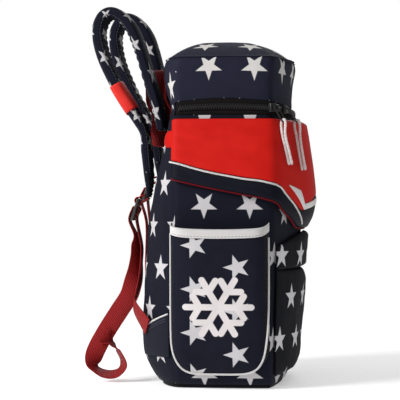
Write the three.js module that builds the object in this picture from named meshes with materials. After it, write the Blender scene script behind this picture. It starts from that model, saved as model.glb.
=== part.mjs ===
// A backpack for goalkeeper's gloves: a padded drum of a bag with a domed lid that zips on, a moulded
// foam wrap round its sides and front, a bellows pocket on each side and two padded shoulder straps.
// Millimetres. +X points to the bag's front, +Y to the wearer's right, +Z up. The origin is the middle
// of the underside of the base.

import * as THREE from 'three';

// The bag's body, a hollow of padded cloth that is open at the top.
const BODY_TOP = 354;
const BODY_BACK = 108;
const BODY_FRONT = 104;
const HALF_WIDTH = 146;
const WALL = 3;
const SEAM_BACK = 58;
const SEAM_AHEAD = 65;

// The lid, its domed top and the stretch between lid and body that the zip and the hinge close.
const LID_GAP = 22;
const LID_DRUM = 54;
const LID_DOME = 28;
const LID_BACK = 79.5;
const LID_FRONT = 95.5;
const LID_SIDE_INSET = 8;
const LID_HALF_WIDTH = HALF_WIDTH - LID_SIDE_INSET;
const LID_DIP = 8;
const LID_FRONT_DIP = 6;

// The base panel under the body.
const BASE_THICK = 4;
const BASE_INSET = 2;

// What keeps two pieces apart where they meet, and where cloth lies on the body's curved skin.
const CLEAR = 0.3;
const SEAT = 0.84;

// The zip: cloth tape, moulded chain, two sliders with wire pulls.
const TAPE_THICK = 1.2;
const CHAIN_HEIGHT = 6.4;
const CHAIN_THICK = 2.4;
const SLIDER_LENGTH = 13;
const SLIDER_HEIGHT = 10;
const SLIDER_THICK = 5.5;
const SLIDER_BEVEL = 0.8;
const PULL_LENGTH = 26;
const PULL_WIDTH = 7.6;
const PULL_WIRE = 1.6;

// The laces tied through the two zip pulls.
const LACE_THICK = 3.4;
const LACE_SIDES = 8;
const LACE_STEPS = 26;

// The moulded wrap.
const WRAP_SET_DOWN = 5.5;
const WRAP_TOP = BODY_TOP - WRAP_SET_DOWN;
const WRAP_WALL = 6;
const WRAP_STAND_SIDE = 9.5;
const WRAP_STAND_FRONT = 20;
const WRAP_DROP = 142;
const WRAP_TAB_LENGTH = 34;
const WRAP_TAB_THICK = 2.4;
const PIPING = 2.6;

// The side pockets.
const POCKET_FLOOR = 20;
const POCKET_HEIGHT = 188;
const POCKET_SAG = 2.5;
const POCKET_EAR = 6;
const POCKET_CORNER_RISE = 26;
const POCKET_DEPTH = 17;
const POCKET_WALL = 1.8;
const BINDING_HEIGHT = 11;
const BINDING_THICK = 1.2;

// The front pocket: a full lower bag and a shallow flap over it.
const FRONT_POCKET_FLOOR = 17;
const FRONT_POCKET_TOP = 153;
const FRONT_POCKET_DEPTH = 9.5;
const FRONT_POCKET_WALL = 2;
const FRONT_FLAP_SET_DOWN = 3.5;
const FRONT_FLAP_TOP = WRAP_TOP - WRAP_DROP - FRONT_FLAP_SET_DOWN;
const FRONT_FLAP_DEPTH = 7;
const FRONT_FLAP_SLOPE = 22;
const FRONT_POCKET_GAP = 1;

// The shoulder straps.
const STRAP_WIDTH = 60;
const STRAP_THICK = 17;
const STRAP_SPREAD = 62;
const STRAP_ROOT = 338;
const STRAP_RISE = 157;
const STRAP_REACH = 92;
const RIGHT_STRAP_LIFT = 6;
const RIGHT_LOCK_LIFT = 26;
const GATHER_DEPTH = 1.1;
const GATHER_PITCH = 21;
const LABEL_THICK = 0.9;

// The red webbing, its ladder locks and the wings that it is sewn to.
const WEB_WIDTH = 25;
const WEB_THICK = 1.6;
const LOCK_LENGTH = 30;
const LOCK_WIDTH = 36;
const LOCK_THICK = 3.6;
const LOCK_SLOT = 8;
const LOCK_BAR = 4.5;
const LOCK_HEIGHT = 231;
const LOCK_BELOW_STRAP = 16.7;
const LOCK_OUT = 17;
const LOCK_TILT = 0.3;
const TAIL_REACH = 70;
const WING_FLOOR = 40;
const WING_TOP = 97;
const WING_THICK = 2;

// The haul loop.
const HAUL_HALF_WIDTH = 24;
const HAUL_FOOT = 318;
const HAUL_RISE = 105;
const HAUL_LEAN = 6;

const NAVY = 0x23253a;
const RED = 0xc8261f;
const WEB_RED = 0x9a1215;
const WHITE = 0xe2dedd;
const BLACK = 0x191818;

// Plan of the bag, half of it, from the middle of the back round to the middle of the front. girth is
// the share of the way round, along the share of the depth, side the share of the half width.
const PLAN = [
  { girth: 0.0, along: 0.0, side: 0.0 },
  { girth: 0.14, along: 0.0, side: 0.44 },
  { girth: 0.2, along: 0.03, side: 0.63 },
  { girth: 0.28, along: 0.115, side: 0.84 },
  { girth: 0.35, along: 0.225, side: 0.98 },
  { girth: 0.38, along: 0.28, side: 1.0 },
  { girth: 0.51, along: 0.55, side: 1.01 },
  { girth: 0.645, along: 0.83, side: 0.99 },
  { girth: 0.665, along: 0.865, side: 0.93 },
  { girth: 0.75, along: 0.925, side: 0.68 },
  { girth: 0.87, along: 0.98, side: 0.35 },
  { girth: 1.0, along: 1.0, side: 0.0 },
];
const REAR_SEAM = 0.35;
const FRONT_SEAM = 0.645;
const LONG_STEP = 0.08;

// Upright sections of the body: up is the share of its height, the others are shares of its reach to
// the back, to the front and to the side.
const BODY_LEVELS = [
  { up: 0.0, back: 0.768, front: 0.769, wide: 0.877 },
  { up: 0.04, back: 0.87, front: 0.837, wide: 0.945 },
  { up: 0.107, back: 0.97, front: 0.86, wide: 0.98 },
  { up: 0.175, back: 1.0, front: 0.868, wide: 0.993 },
  { up: 0.294, back: 0.99, front: 0.905, wide: 1.0 },
  { up: 0.438, back: 0.965, front: 0.952, wide: 1.0 },
  { up: 0.576, back: 0.942, front: 0.995, wide: 1.0 },
  { up: 0.689, back: 0.889, front: 1.0, wide: 0.997 },
  { up: 0.777, back: 0.833, front: 0.974, wide: 0.988 },
  { up: 0.876, back: 0.745, front: 0.942, wide: 0.972 },
  { up: 1.0, back: 0.662, front: 0.909, wide: 0.945 },
];

// The same for the drum of the lid.
const LID_LEVELS = [
  { up: 0.0, back: 0.868, front: 0.94, wide: 0.965 },
  { up: 0.3, back: 0.945, front: 0.955, wide: 0.985 },
  { up: 0.62, back: 0.994, front: 0.98, wide: 1.0 },
  { up: 0.86, back: 1.0, front: 1.0, wide: 1.0 },
  { up: 1.0, back: 0.972, front: 0.992, wide: 0.988 },
];
const DOME_RINGS = [0.97, 0.9, 0.76, 0.56, 0.3];
const DOME_FULLNESS = 3;

// The wrap's lower edge, and the line where its red ends: drops are shares of WRAP_DROP below its top.
const WRAP_EDGE = [
  { girth: 0.34, edge: 0.54, red: 0.37 },
  { girth: 0.45, edge: 0.615, red: 0.465 },
  { girth: 0.56, edge: 0.68, red: 0.53 },
  { girth: 0.645, edge: 0.735, red: 0.575 },
  { girth: 0.68, edge: 0.82, red: 0.66 },
  { girth: 0.75, edge: 0.915, red: 0.775 },
  { girth: 0.81, edge: 0.98, red: 0.83 },
  { girth: 0.9, edge: 1.0, red: 0.73 },
  { girth: 1.0, edge: 1.0, red: 0.69 },
];

// How far the wrap stands off the body: down is the share of WRAP_DROP, stand the share of its most.
const WRAP_PROFILE = [
  { down: 0.0, stand: 0.66 },
  { down: 0.03, stand: 0.78 },
  { down: 0.25, stand: 0.92 },
  { down: 0.5, stand: 1.0 },
  { down: 0.72, stand: 0.97 },
  { down: 0.88, stand: 0.76 },
  { down: 1.0, stand: 0.36 },
];
const WRAP_START = 0.347;

// The white piping runs along the band to where it meets the wrap's lower edge near the front.
const PIPING_LINE = [
  { girth: 0.34, drop: 0.385 },
  { girth: 0.45, drop: 0.48 },
  { girth: 0.56, drop: 0.545 },
  { girth: 0.645, drop: 0.59 },
  { girth: 0.68, drop: 0.685 },
  { girth: 0.75, drop: 0.81 },
  { girth: 0.83, drop: 0.955 },
];

// The padded strap from its sewn root over the arch and down: out is the share of STRAP_REACH behind
// the back at the root, up the share of STRAP_RISE above it, and below it the drop to the lock in the
// same measure; thick and wide are shares of its section.
const STRAP_ROWS = [
  { out: 0.08, up: 0.0, thick: 0.8, wide: 0.9 },
  { out: 0.1, up: 0.085, thick: 0.9, wide: 0.95 },
  { out: 0.17, up: 0.257, thick: 1.0, wide: 1.0 },
  { out: 0.259, up: 0.427, thick: 1.0, wide: 1.0 },
  { out: 0.346, up: 0.599, thick: 0.95, wide: 1.0 },
  { out: 0.418, up: 0.726, thick: 1.0, wide: 1.0 },
  { out: 0.507, up: 0.853, thick: 1.0, wide: 1.0 },
  { out: 0.633, up: 0.949, thick: 0.95, wide: 1.0 },
  { out: 0.799, up: 1.0, thick: 0.9, wide: 1.0 },
  { out: 0.929, up: 0.965, thick: 0.95, wide: 1.0 },
  { out: 1.0, up: 0.863, thick: 1.0, wide: 1.0 },
  { out: 0.988, up: 0.752, thick: 1.0, wide: 1.0 },
  { out: 0.929, up: 0.624, thick: 1.0, wide: 1.0 },
  { out: 0.827, up: 0.487, thick: 1.0, wide: 1.0 },
  { out: 0.696, up: 0.342, thick: 1.0, wide: 1.0 },
  { out: 0.55, up: 0.205, thick: 1.0, wide: 1.0 },
  { out: 0.41, up: 0.076, thick: 0.9, wide: 1.0 },
  { out: 0.325, up: -0.03, thick: 0.72, wide: 0.95 },
  { out: 0.3, up: -0.172, thick: 0.85, wide: 0.95 },
  { out: 0.27, up: -0.385, thick: 0.72, wide: 0.85 },
  { out: 0.262, up: -0.5, thick: 0.5, wide: 0.7 },
  { out: 0.27, up: -0.575, thick: 0.36, wide: 0.55 },
];
const STRAP_STEPS = 52;
const STRAP_SECTION = 10;
const LABEL_STEPS = [34, 35, 36, 37, 38];

// The free tail of the left strap's webbing, from the lock down to the loop that is sewn in its end:
// out is the share of TAIL_REACH behind the back, up the share of LOCK_HEIGHT, fore the share of the
// webbing's width towards the side, and the last three are the direction of its width.
const TAIL_LEFT = [
  { out: 0.136, up: 0.853, fore: 0.0, wx: 0.1, wy: 1.0, wz: 0.0 },
  { out: 0.14, up: 0.795, fore: 0.0, wx: 0.35, wy: 0.94, wz: 0.0 },
  { out: 0.13, up: 0.732, fore: 0.0, wx: 0.5, wy: 0.87, wz: 0.0 },
  { out: 0.147, up: 0.649, fore: 0.0, wx: 0.75, wy: 0.66, wz: 0.0 },
  { out: 0.204, up: 0.563, fore: 0.0, wx: 0.97, wy: 0.2, wz: -0.2 },
  { out: 0.281, up: 0.494, fore: 0.0, wx: 0.95, wy: 0.0, wz: -0.3 },
  { out: 0.443, up: 0.418, fore: 0.0, wx: 0.87, wy: 0.0, wz: -0.5 },
  { out: 0.586, up: 0.351, fore: 0.0, wx: 0.85, wy: 0.0, wz: -0.52 },
  { out: 0.72, up: 0.286, fore: 0.0, wx: 0.87, wy: 0.05, wz: -0.5 },
  { out: 0.856, up: 0.214, fore: 0.0, wx: 0.9, wy: 0.12, wz: -0.42 },
  { out: 0.95, up: 0.147, fore: 0.0, wx: 0.85, wy: 0.4, wz: -0.3 },
  { out: 0.965, up: 0.088, fore: 0.02, wx: 0.5, wy: 0.85, wz: -0.15 },
  { out: 0.817, up: 0.052, fore: 0.05, wx: 0.1, wy: 0.95, wz: 0.25 },
  { out: 0.626, up: 0.04, fore: 0.08, wx: 0.0, wy: 0.92, wz: 0.35 },
  { out: 0.453, up: 0.056, fore: 0.12, wx: -0.1, wy: 0.92, wz: 0.4 },
  { out: 0.367, up: 0.108, fore: 0.16, wx: -0.45, wy: 0.8, wz: 0.4 },
  { out: 0.471, up: 0.178, fore: 0.19, wx: -0.6, wy: 0.45, wz: 0.62 },
  { out: 0.606, up: 0.227, fore: 0.21, wx: -0.62, wy: 0.22, wz: 0.72 },
  { out: 0.74, up: 0.27, fore: 0.2, wx: -0.6, wy: 0.0, wz: 0.78 },
];

// The right strap's tail hangs straight down.
const TAIL_RIGHT = [
  { out: 0.14, up: 0.85, fore: 0.0, wx: 0.0, wy: 1.0, wz: 0.0 },
  { out: 0.15, up: 0.6, fore: 0.0, wx: 0.0, wy: 1.0, wz: 0.0 },
  { out: 0.13, up: 0.35, fore: 0.0, wx: 0.0, wy: 1.0, wz: 0.0 },
  { out: 0.14, up: 0.1, fore: 0.0, wx: 0.0, wy: 1.0, wz: 0.0 },
];

// The stretch of webbing from the wing up to the lock; side is the share of the strap's spread that it
// stands further out, up the share of LOCK_HEIGHT, out the share of LOCK_OUT behind the back.
const WEB_RUN = [
  { out: 0.5, up: 0.44, side: 0.42, wx: 0.2, wy: 0.8, wz: 0.55 },
  { out: 0.55, up: 0.5, side: 0.3, wx: 0.1, wy: 0.9, wz: 0.35 },
  { out: 0.36, up: 0.585, side: 0.18, wx: 0.0, wy: 1.0, wz: 0.2 },
  { out: 0.33, up: 0.71, side: 0.08, wx: 0.0, wy: 1.0, wz: 0.0 },
  { out: 0.4, up: 0.8, side: 0.02, wx: 0.0, wy: 1.0, wz: 0.0 },
];

// The lace's route on each pull, chosen by hand: down one strand from its end, up through the pull's
// eye and down the other strand. Millimetres.
const LACE_NEAR_REAR = [
  [90.7, -130.4, 289.4],
  [87.5, -133.8, 303.9],
  [85.8, -135.9, 312.0],
  [83.7, -137.7, 321.0],
  [81.7, -138.7, 330.0],
  [80.5, -137.7, 339.5],
  [81.2, -138.2, 345.1],
  [83.2, -140.3, 347.6],
  [85.2, -142.4, 346.9],
  [86.2, -143.5, 342.5],
  [85.7, -142.5, 332.0],
  [87.2, -140.6, 321.0],
  [89.5, -137.9, 312.0],
  [91.3, -135.6, 304.0],
  [94.2, -131.8, 289.8],
];
const LACE_NEAR_FRONT = [
  [106.8, -91.5, 282.9],
  [103.9, -94.1, 298.9],
  [102.2, -96.2, 308.3],
  [100.6, -97.7, 318.5],
  [99.0, -99.0, 328.5],
  [96.8, -98.9, 338.6],
  [96.6, -99.2, 345.5],
  [99.2, -99.9, 348.3],
  [102.1, -100.6, 348.1],
  [103.6, -101.1, 342.3],
  [103.8, -101.1, 330.1],
  [104.8, -99.6, 319.1],
  [106.4, -97.9, 308.9],
  [108.0, -95.8, 299.1],
  [110.8, -92.9, 283.4],
];

// A smooth curve through the rows of a table: the value of one column where another column is at.
function smoothAt(rows, where, at, column) {
  let k = 1;
  while (k < rows.length - 1 && rows[k][where] < at) {
    k += 1;
  }
  const slope = (i) => {
    const low = rows[Math.max(0, i - 1)];
    const high = rows[Math.min(rows.length - 1, i + 1)];
    return (high[column] - low[column]) / (high[where] - low[where]);
  };
  const span = rows[k][where] - rows[k - 1][where];
  const t = THREE.MathUtils.clamp((at - rows[k - 1][where]) / span, 0, 1);
  const rise = t * t * (3 - 2 * t);
  const leave = t * (1 - t) * (1 - t) * span * slope(k - 1);
  const arrive = t * t * (1 - t) * span * slope(k);
  return rows[k - 1][column] * (1 - rise) + rows[k][column] * rise + leave - arrive;
}

// A point of the plan, for a girth from -1 (front, wearer's right) over 0 (back) to 1 (front, left). The
// seams down the sides stand at the same distance from the middle at every height.
function planPoint(girth, back, front, halfWidth) {
  const way = Math.abs(girth);
  const along = smoothAt(PLAN, 'girth', way, 'along');
  const rear = smoothAt(PLAN, 'girth', REAR_SEAM, 'along');
  const fore = smoothAt(PLAN, 'girth', FRONT_SEAM, 'along');
  let x = THREE.MathUtils.mapLinear(along, rear, fore, -SEAM_BACK, SEAM_AHEAD);
  if (along < rear) {
    x = THREE.MathUtils.mapLinear(along, 0, rear, -back, -SEAM_BACK);
  } else if (along > fore) {
    x = THREE.MathUtils.mapLinear(along, fore, 1, SEAM_AHEAD, front);
  }
  const side = smoothAt(PLAN, 'girth', way, 'side');
  return new THREE.Vector3(x, -Math.sign(girth) * side * halfWidth, 0);
}

function sectionPoint(levels, up, girth, back, front, halfWidth) {
  const backHere = back * smoothAt(levels, 'up', up, 'back');
  const frontHere = front * smoothAt(levels, 'up', up, 'front');
  const wideHere = halfWidth * smoothAt(levels, 'up', up, 'wide');
  return planPoint(girth, backHere, frontHere, wideHere);
}

function bodySkin(girth, z) {
  const point = sectionPoint(BODY_LEVELS, z / BODY_TOP, girth, BODY_BACK, BODY_FRONT, HALF_WIDTH);
  point.z = z;
  return point;
}

const LID_BOTTOM = BODY_TOP + LID_GAP;

function lidSkin(girth, z) {
  const up = (z - LID_BOTTOM) / LID_DRUM;
  const point = sectionPoint(LID_LEVELS, up, girth, LID_BACK, LID_FRONT, LID_HALF_WIDTH);
  point.z = z;
  return point;
}

// The outward normal of a skin, from its neighbours round and up.
function skinNormal(skin, girth, z, low, high) {
  const step = 0.01;
  const rise = 2;
  const round = skin(Math.min(1, girth + step), z).sub(skin(Math.max(-1, girth - step), z));
  const up = skin(girth, Math.min(high, z + rise)).sub(skin(girth, Math.max(low, z - rise)));
  return round.cross(up).normalize();
}

// A point that stands off the body's skin by a distance.
function onBody(girth, z, off) {
  const normal = skinNormal(bodySkin, girth, z, 0, BODY_TOP);
  return bodySkin(girth, z).addScaledVector(normal, off);
}

// The girths of one ring, from back to front on one side: the rows of the plan, long steps halved.
function halfGirths() {
  const girths = [0];
  for (let k = 1; k < PLAN.length; k += 1) {
    const last = PLAN[k - 1].girth;
    const next = PLAN[k].girth;
    if (next - last > LONG_STEP) {
      girths.push((last + next) / 2);
    }
    girths.push(next);
  }
  return girths;
}

function ringGirths() {
  const half = halfGirths();
  const other = half.slice(1, -1).map((girth) => -girth).reverse();
  return [...half, ...other];
}

// The girths from one side's start round the front to the other side's start.
function frontGirths(start) {
  const half = [start, ...halfGirths().filter((girth) => girth > start + 0.01)];
  const other = half.slice(0, -1).map((girth) => -girth).reverse();
  return [...half, ...other];
}

// The girths between two values on one side.
function girthsBetween(from, to, steps) {
  return Array.from({ length: steps + 1 }, (_, k) => from + ((to - from) * k) / steps);
}

// Closed triangle mesh from vertices and faces, turned so that its faces point out.
function solid(vertices, faces) {
  let volume = 0;
  for (const [a, b, c] of faces) {
    volume += vertices[a].dot(vertices[b].clone().cross(vertices[c]));
  }
  const turned = volume < 0 ? faces.map(([a, b, c]) => [a, c, b]) : faces;
  const geometry = new THREE.BufferGeometry();
  const places = vertices.flatMap((v) => v.toArray());
  geometry.setAttribute('position', new THREE.Float32BufferAttribute(places, 3));
  geometry.setIndex(turned.flat());
  geometry.computeVertexNormals();
  return geometry;
}

// A wall between two grids of points with the same rows and columns.
function wall(inner, outer) {
  const rows = inner.length;
  const columns = inner[0].length;
  const vertices = [...inner.flat(), ...outer.flat()];
  const at = (layer, i, j) => layer * rows * columns + i * columns + j;
  const faces = [];
  const quad = (a, b, c, d) => {
    faces.push([a, b, c], [a, c, d]);
  };
  for (let i = 0; i < rows - 1; i += 1) {
    for (let j = 0; j < columns - 1; j += 1) {
      quad(at(0, i, j), at(0, i, j + 1), at(0, i + 1, j + 1), at(0, i + 1, j));
      quad(at(1, i, j), at(1, i + 1, j), at(1, i + 1, j + 1), at(1, i, j + 1));
    }
    quad(at(0, i, 0), at(0, i + 1, 0), at(1, i + 1, 0), at(1, i, 0));
    quad(at(0, i, columns - 1), at(1, i, columns - 1), at(1, i + 1, columns - 1), at(0, i + 1, columns - 1));
  }
  for (let j = 0; j < columns - 1; j += 1) {
    quad(at(0, 0, j), at(1, 0, j), at(1, 0, j + 1), at(0, 0, j + 1));
    quad(at(0, rows - 1, j), at(0, rows - 1, j + 1), at(1, rows - 1, j + 1), at(1, rows - 1, j));
  }
  return solid(vertices, faces);
}

// A closed surface through rings of points, each end closed by a fan from its middle.
function loft(rings) {
  const size = rings[0].length;
  const middle = (ring) => ring.reduce((sum, p) => sum.add(p), new THREE.Vector3()).divideScalar(size);
  const vertices = [...rings.flat(), middle(rings[0]), middle(rings[rings.length - 1])];
  const faces = [];
  const last = (rings.length - 1) * size;
  for (let j = 0; j < size; j += 1) {
    const next = (j + 1) % size;
    for (let i = 0; i < rings.length - 1; i += 1) {
      const a = i * size;
      const b = a + size;
      faces.push([a + j, a + next, b + next], [a + j, b + next, b + j]);
    }
    faces.push([rings.length * size, next, j], [rings.length * size + 1, last + j, last + next]);
  }
  return solid(vertices, faces);
}

// A flat strap through rows of middle and width direction.
function ribbon(middles, across, width, thick) {
  const rings = middles.map((middle, k) => {
    const ahead = middles[Math.min(middles.length - 1, k + 1)];
    const behind = middles[Math.max(0, k - 1)];
    const way = ahead.clone().sub(behind).normalize();
    const side = across[k].clone().addScaledVector(way, -across[k].dot(way)).normalize();
    const face = way.clone().cross(side).normalize();
    const corner = (s, f) => {
      const edge = middle.clone().addScaledVector(side, (s * width) / 2);
      return edge.addScaledVector(face, (f * thick) / 2);
    };
    return [corner(-1, -1), corner(1, -1), corner(1, 1), corner(-1, 1)];
  });
  return loft(rings);
}

const group = new THREE.Group();

function add(name, geometry, color, roughness, metalness) {
  const material = new THREE.MeshStandardMaterial({ color, roughness, metalness });
  const mesh = new THREE.Mesh(geometry, material);
  mesh.name = name;
  group.add(mesh);
  return mesh;
}

// The body: outer skin up, inner skin down to the inside of its floor.
function bagBody() {
  const floor = BASE_THICK + CLEAR;
  const heights = BODY_LEVELS.map((level) => Math.max(floor, level.up * BODY_TOP));
  const halved = heights.flatMap((z, k) => (k === 0 ? [z] : [(heights[k - 1] + z) / 2, z]));
  const girths = ringGirths();
  const outer = halved.map((z) => girths.map((girth) => bodySkin(girth, z)));
  const inner = heights.map((z) => {
    const height = Math.max(floor + WALL, z);
    return girths.map((girth) => onBody(girth, height, -WALL).setZ(height));
  });
  return loft([...outer, ...inner.reverse()]);
}

// The base panel, a little inside the lower edge of the body.
function bagBase() {
  const girths = ringGirths();
  const ring = (z) => girths.map((girth) => onBody(girth, 0, -BASE_INSET).setZ(z));
  return loft([ring(0), ring(BASE_THICK)]);
}

// The lid's lower edge dips towards the back, where it bends on its hinge, and less towards the front.
function lidEdge(girth) {
  const way = THREE.MathUtils.smoothstep(Math.abs(girth), REAR_SEAM - 0.1, REAR_SEAM + 0.15);
  const fore = THREE.MathUtils.smoothstep(Math.abs(girth), FRONT_SEAM - 0.145, FRONT_SEAM + 0.105);
  return LID_BOTTOM - LID_DIP * (1 - way) - LID_FRONT_DIP * fore;
}

function bagLid() {
  const girths = ringGirths();
  const drum = (off) => LID_LEVELS.map((level) => girths.map((girth) => {
    const z = LID_BOTTOM + level.up * LID_DRUM;
    const normal = skinNormal(lidSkin, girth, z, LID_BOTTOM, LID_BOTTOM + LID_DRUM);
    const edge = level.up === 0 ? lidEdge(girth) : z;
    return lidSkin(girth, z).addScaledVector(normal.setZ(0), off).setZ(edge);
  }));
  const dome = (ring, rise, drop) => DOME_RINGS.map((share) => {
    const middle = (LID_FRONT - LID_BACK) / 2;
    const z = LID_BOTTOM + LID_DRUM + rise * (1 - share ** DOME_FULLNESS) - drop;
    return ring.map((p) => new THREE.Vector3(middle + (p.x - middle) * share, p.y * share, z));
  });
  const outer = drum(0);
  const inner = drum(-WALL);
  const outerDome = dome(outer[outer.length - 1], LID_DOME, 0);
  const innerDome = dome(inner[inner.length - 1], LID_DOME, WALL);
  inner[inner.length - 1] = inner[inner.length - 1].map((p) => p.clone().setZ(p.z - WALL));
  return loft([...outerDome.reverse(), ...outer.reverse(), ...inner, ...innerDome]);
}

// Between body and lid: share goes from the body's rim to the lid's edge.
function inZipGap(girth, share, off) {
  const low = bodySkin(girth, BODY_TOP).setZ(BODY_TOP + CLEAR);
  const high = lidSkin(girth, LID_BOTTOM).setZ(lidEdge(girth) - CLEAR);
  const normal = skinNormal(bodySkin, girth, BODY_TOP, 0, BODY_TOP).setZ(0).normalize();
  return low.lerp(high, share).addScaledVector(normal, off);
}

function gapWall(girths, shares, inOff, outOff) {
  const grid = (off) => girths.map((girth) => shares.map((share) => inZipGap(girth, share, off)));
  return wall(grid(inOff), grid(outOff));
}

const ZIP_END = REAR_SEAM + 0.005;
const HINGE_END = REAR_SEAM - 0.008;

function zipTape() {
  return gapWall(frontGirths(ZIP_END), [0, 1], -TAPE_THICK, 0);
}

function lidHinge() {
  return gapWall(girthsBetween(-HINGE_END, HINGE_END, 12), [0, 1], -TAPE_THICK, 0);
}

function zipChain() {
  const half = CHAIN_HEIGHT / 2 / LID_GAP;
  return gapWall(frontGirths(ZIP_END + 0.012), [0.5 - half, 0.5 + half], CLEAR, CLEAR + CHAIN_THICK);
}

// A slider: a waisted body that rides the chain, with a bridge for its pull.
function zipSlider() {
  const shape = new THREE.Shape();
  shape.moveTo(-SLIDER_LENGTH / 2, -SLIDER_HEIGHT / 2);
  shape.lineTo(SLIDER_LENGTH / 2, -SLIDER_HEIGHT * 0.34);
  shape.lineTo(SLIDER_LENGTH / 2, SLIDER_HEIGHT * 0.34);
  shape.lineTo(-SLIDER_LENGTH / 2, SLIDER_HEIGHT / 2);
  shape.closePath();
  const geometry = new THREE.ExtrudeGeometry(shape, {
    depth: SLIDER_THICK - 2 * SLIDER_BEVEL,
    bevelThickness: SLIDER_BEVEL,
    bevelSize: SLIDER_BEVEL,
    bevelSegments: 1,
  });
  geometry.translate(0, 0, SLIDER_BEVEL);
  return geometry;
}

// A wire pull: a long link with round ends.
function zipPull() {
  const outer = new THREE.Shape();
  const radius = PULL_WIDTH / 2;
  const reach = PULL_LENGTH - 2 * radius;
  outer.absarc(0, 0, radius, 0, Math.PI, false);
  outer.absarc(0, -reach, radius, Math.PI, 2 * Math.PI, false);
  outer.closePath();
  const hole = new THREE.Path();
  const slot = radius - PULL_WIRE;
  hole.absarc(0, 0, slot, 0, Math.PI, false);
  hole.absarc(0, -reach, slot, Math.PI, 2 * Math.PI, false);
  hole.closePath();
  outer.holes.push(hole);
  return new THREE.ExtrudeGeometry(outer, { depth: PULL_WIRE, bevelEnabled: false, curveSegments: 4 });
}

// How far the wrap's outer face stands off the body, by girth and height.
function wrapStand(girth, z) {
  const forward = THREE.MathUtils.smoothstep(Math.abs(girth), FRONT_SEAM - 0.05, 0.93);
  const most = THREE.MathUtils.lerp(WRAP_STAND_SIDE, WRAP_STAND_FRONT, forward);
  const low = THREE.MathUtils.lerp(0.85, 0, forward);
  const down = (WRAP_TOP - z) / WRAP_DROP;
  return most * Math.max(low, smoothAt(WRAP_PROFILE, 'down', down, 'stand'));
}

function wrapEdge(girth, column) {
  return WRAP_TOP - WRAP_DROP * smoothAt(WRAP_EDGE, 'girth', Math.abs(girth), column);
}

// A part of the wrap between two heights that follow the girth.
function wrapPart(girths, shares, topOf, bottomOf) {
  const grid = (lift) => girths.map((girth) => shares.map((share) => {
    const z = THREE.MathUtils.lerp(topOf(girth), bottomOf(girth), share);
    const stand = wrapStand(girth, z);
    return onBody(girth, z, lift ? stand : Math.max(SEAT, stand - WRAP_WALL));
  }));
  return wall(grid(false), grid(true));
}

function wrapShell() {
  const shares = [0, 0.05, 0.3, 0.6, 1];
  return wrapPart(frontGirths(WRAP_START), shares, () => WRAP_TOP, (girth) => wrapEdge(girth, 'red'));
}

function wrapBand() {
  const top = (girth) => wrapEdge(girth, 'red') - CLEAR;
  return wrapPart(frontGirths(WRAP_START), [0, 0.3, 0.65, 1], top, (girth) => wrapEdge(girth, 'edge'));
}

// White piping on the outside of the band, one run on each side.
function wrapPiping(side) {
  const girths = girthsBetween(WRAP_START, PIPING_LINE[PIPING_LINE.length - 1].girth, 16);
  const grid = (off) => girths.map((girth) => [-0.5, 0.5].map((half) => {
    const z = WRAP_TOP - WRAP_DROP * smoothAt(PIPING_LINE, 'girth', girth, 'drop') + half * PIPING;
    return onBody(side * girth, z, wrapStand(girth, z) + off);
  }));
  return wall(grid(PIPING / 2 + CLEAR), grid(PIPING + CLEAR));
}

// The tab that ties the wrap's rear end to the bag's back.
function wrapTab(side) {
  const top = WRAP_TOP - WRAP_DROP * 0.1;
  const bottom = WRAP_TOP - WRAP_DROP * 0.26;
  const girthEnd = WRAP_START - 0.0024;
  const length = WRAP_TAB_LENGTH / (HALF_WIDTH + BODY_BACK + BODY_FRONT);
  const girths = girthsBetween(girthEnd - length, girthEnd, 5);
  const heights = [0, 0.25, 0.5, 0.75, 1].map((share) => THREE.MathUtils.lerp(bottom, top, share));
  const grid = (off) => girths.map((girth) => heights.map((z) => onBody(side * girth, z, off)));
  return wall(grid(SEAT), grid(SEAT + WRAP_TAB_THICK));
}

// The side pocket's panel: across goes from its rear edge to its front edge, up from floor to mouth.
const POCKET_REAR = REAR_SEAM - 0.005;
const POCKET_FRONT = FRONT_SEAM - 0.002;

function pocketMouth(across) {
  const middle = 1 - (2 * across - 1) ** 2;
  const corner = Math.abs(2 * across - 1) ** 12;
  return POCKET_FLOOR + POCKET_HEIGHT - POCKET_SAG * middle + POCKET_EAR * corner;
}

function pocketStand(across, up) {
  const square = 1 - Math.abs(2 * across - 1) ** 8;
  const bottom = Math.min(1, Math.sqrt(up / 0.12));
  const belly = THREE.MathUtils.lerp(0.62, 1, up);
  return SEAT + POCKET_DEPTH * belly * square * bottom;
}

function pocketPoint(side, across, up, off) {
  const corner = Math.abs(2 * across - 1) ** 6;
  const floor = POCKET_FLOOR + POCKET_CORNER_RISE * corner;
  const z = THREE.MathUtils.lerp(floor, pocketMouth(across), up);
  const girth = THREE.MathUtils.lerp(POCKET_REAR, POCKET_FRONT, across);
  return onBody(side * girth, z, pocketStand(across, up) + off);
}

const POCKET_ACROSS = [0, 0.02, 0.05, 0.12, 0.25, 0.4, 0.6, 0.75, 0.88, 0.95, 0.98, 1];

function sidePocket(side) {
  const ups = [0, 0.03, 0.1, 0.3, 0.55, 0.8, 1];
  const grid = (off) => POCKET_ACROSS.map((across) => ups.map((up) => pocketPoint(side, across, up, off)));
  return wall(grid(0), grid(POCKET_WALL));
}

function pocketBinding(side) {
  const low = 1 - BINDING_HEIGHT / POCKET_HEIGHT;
  const off = POCKET_WALL + CLEAR;
  const column = (across, lift) => [low, 1].map((up) => pocketPoint(side, across, up, lift));
  const grid = (lift) => POCKET_ACROSS.map((across) => column(across, lift));
  return wall(grid(off), grid(off + BINDING_THICK));
}

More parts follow.
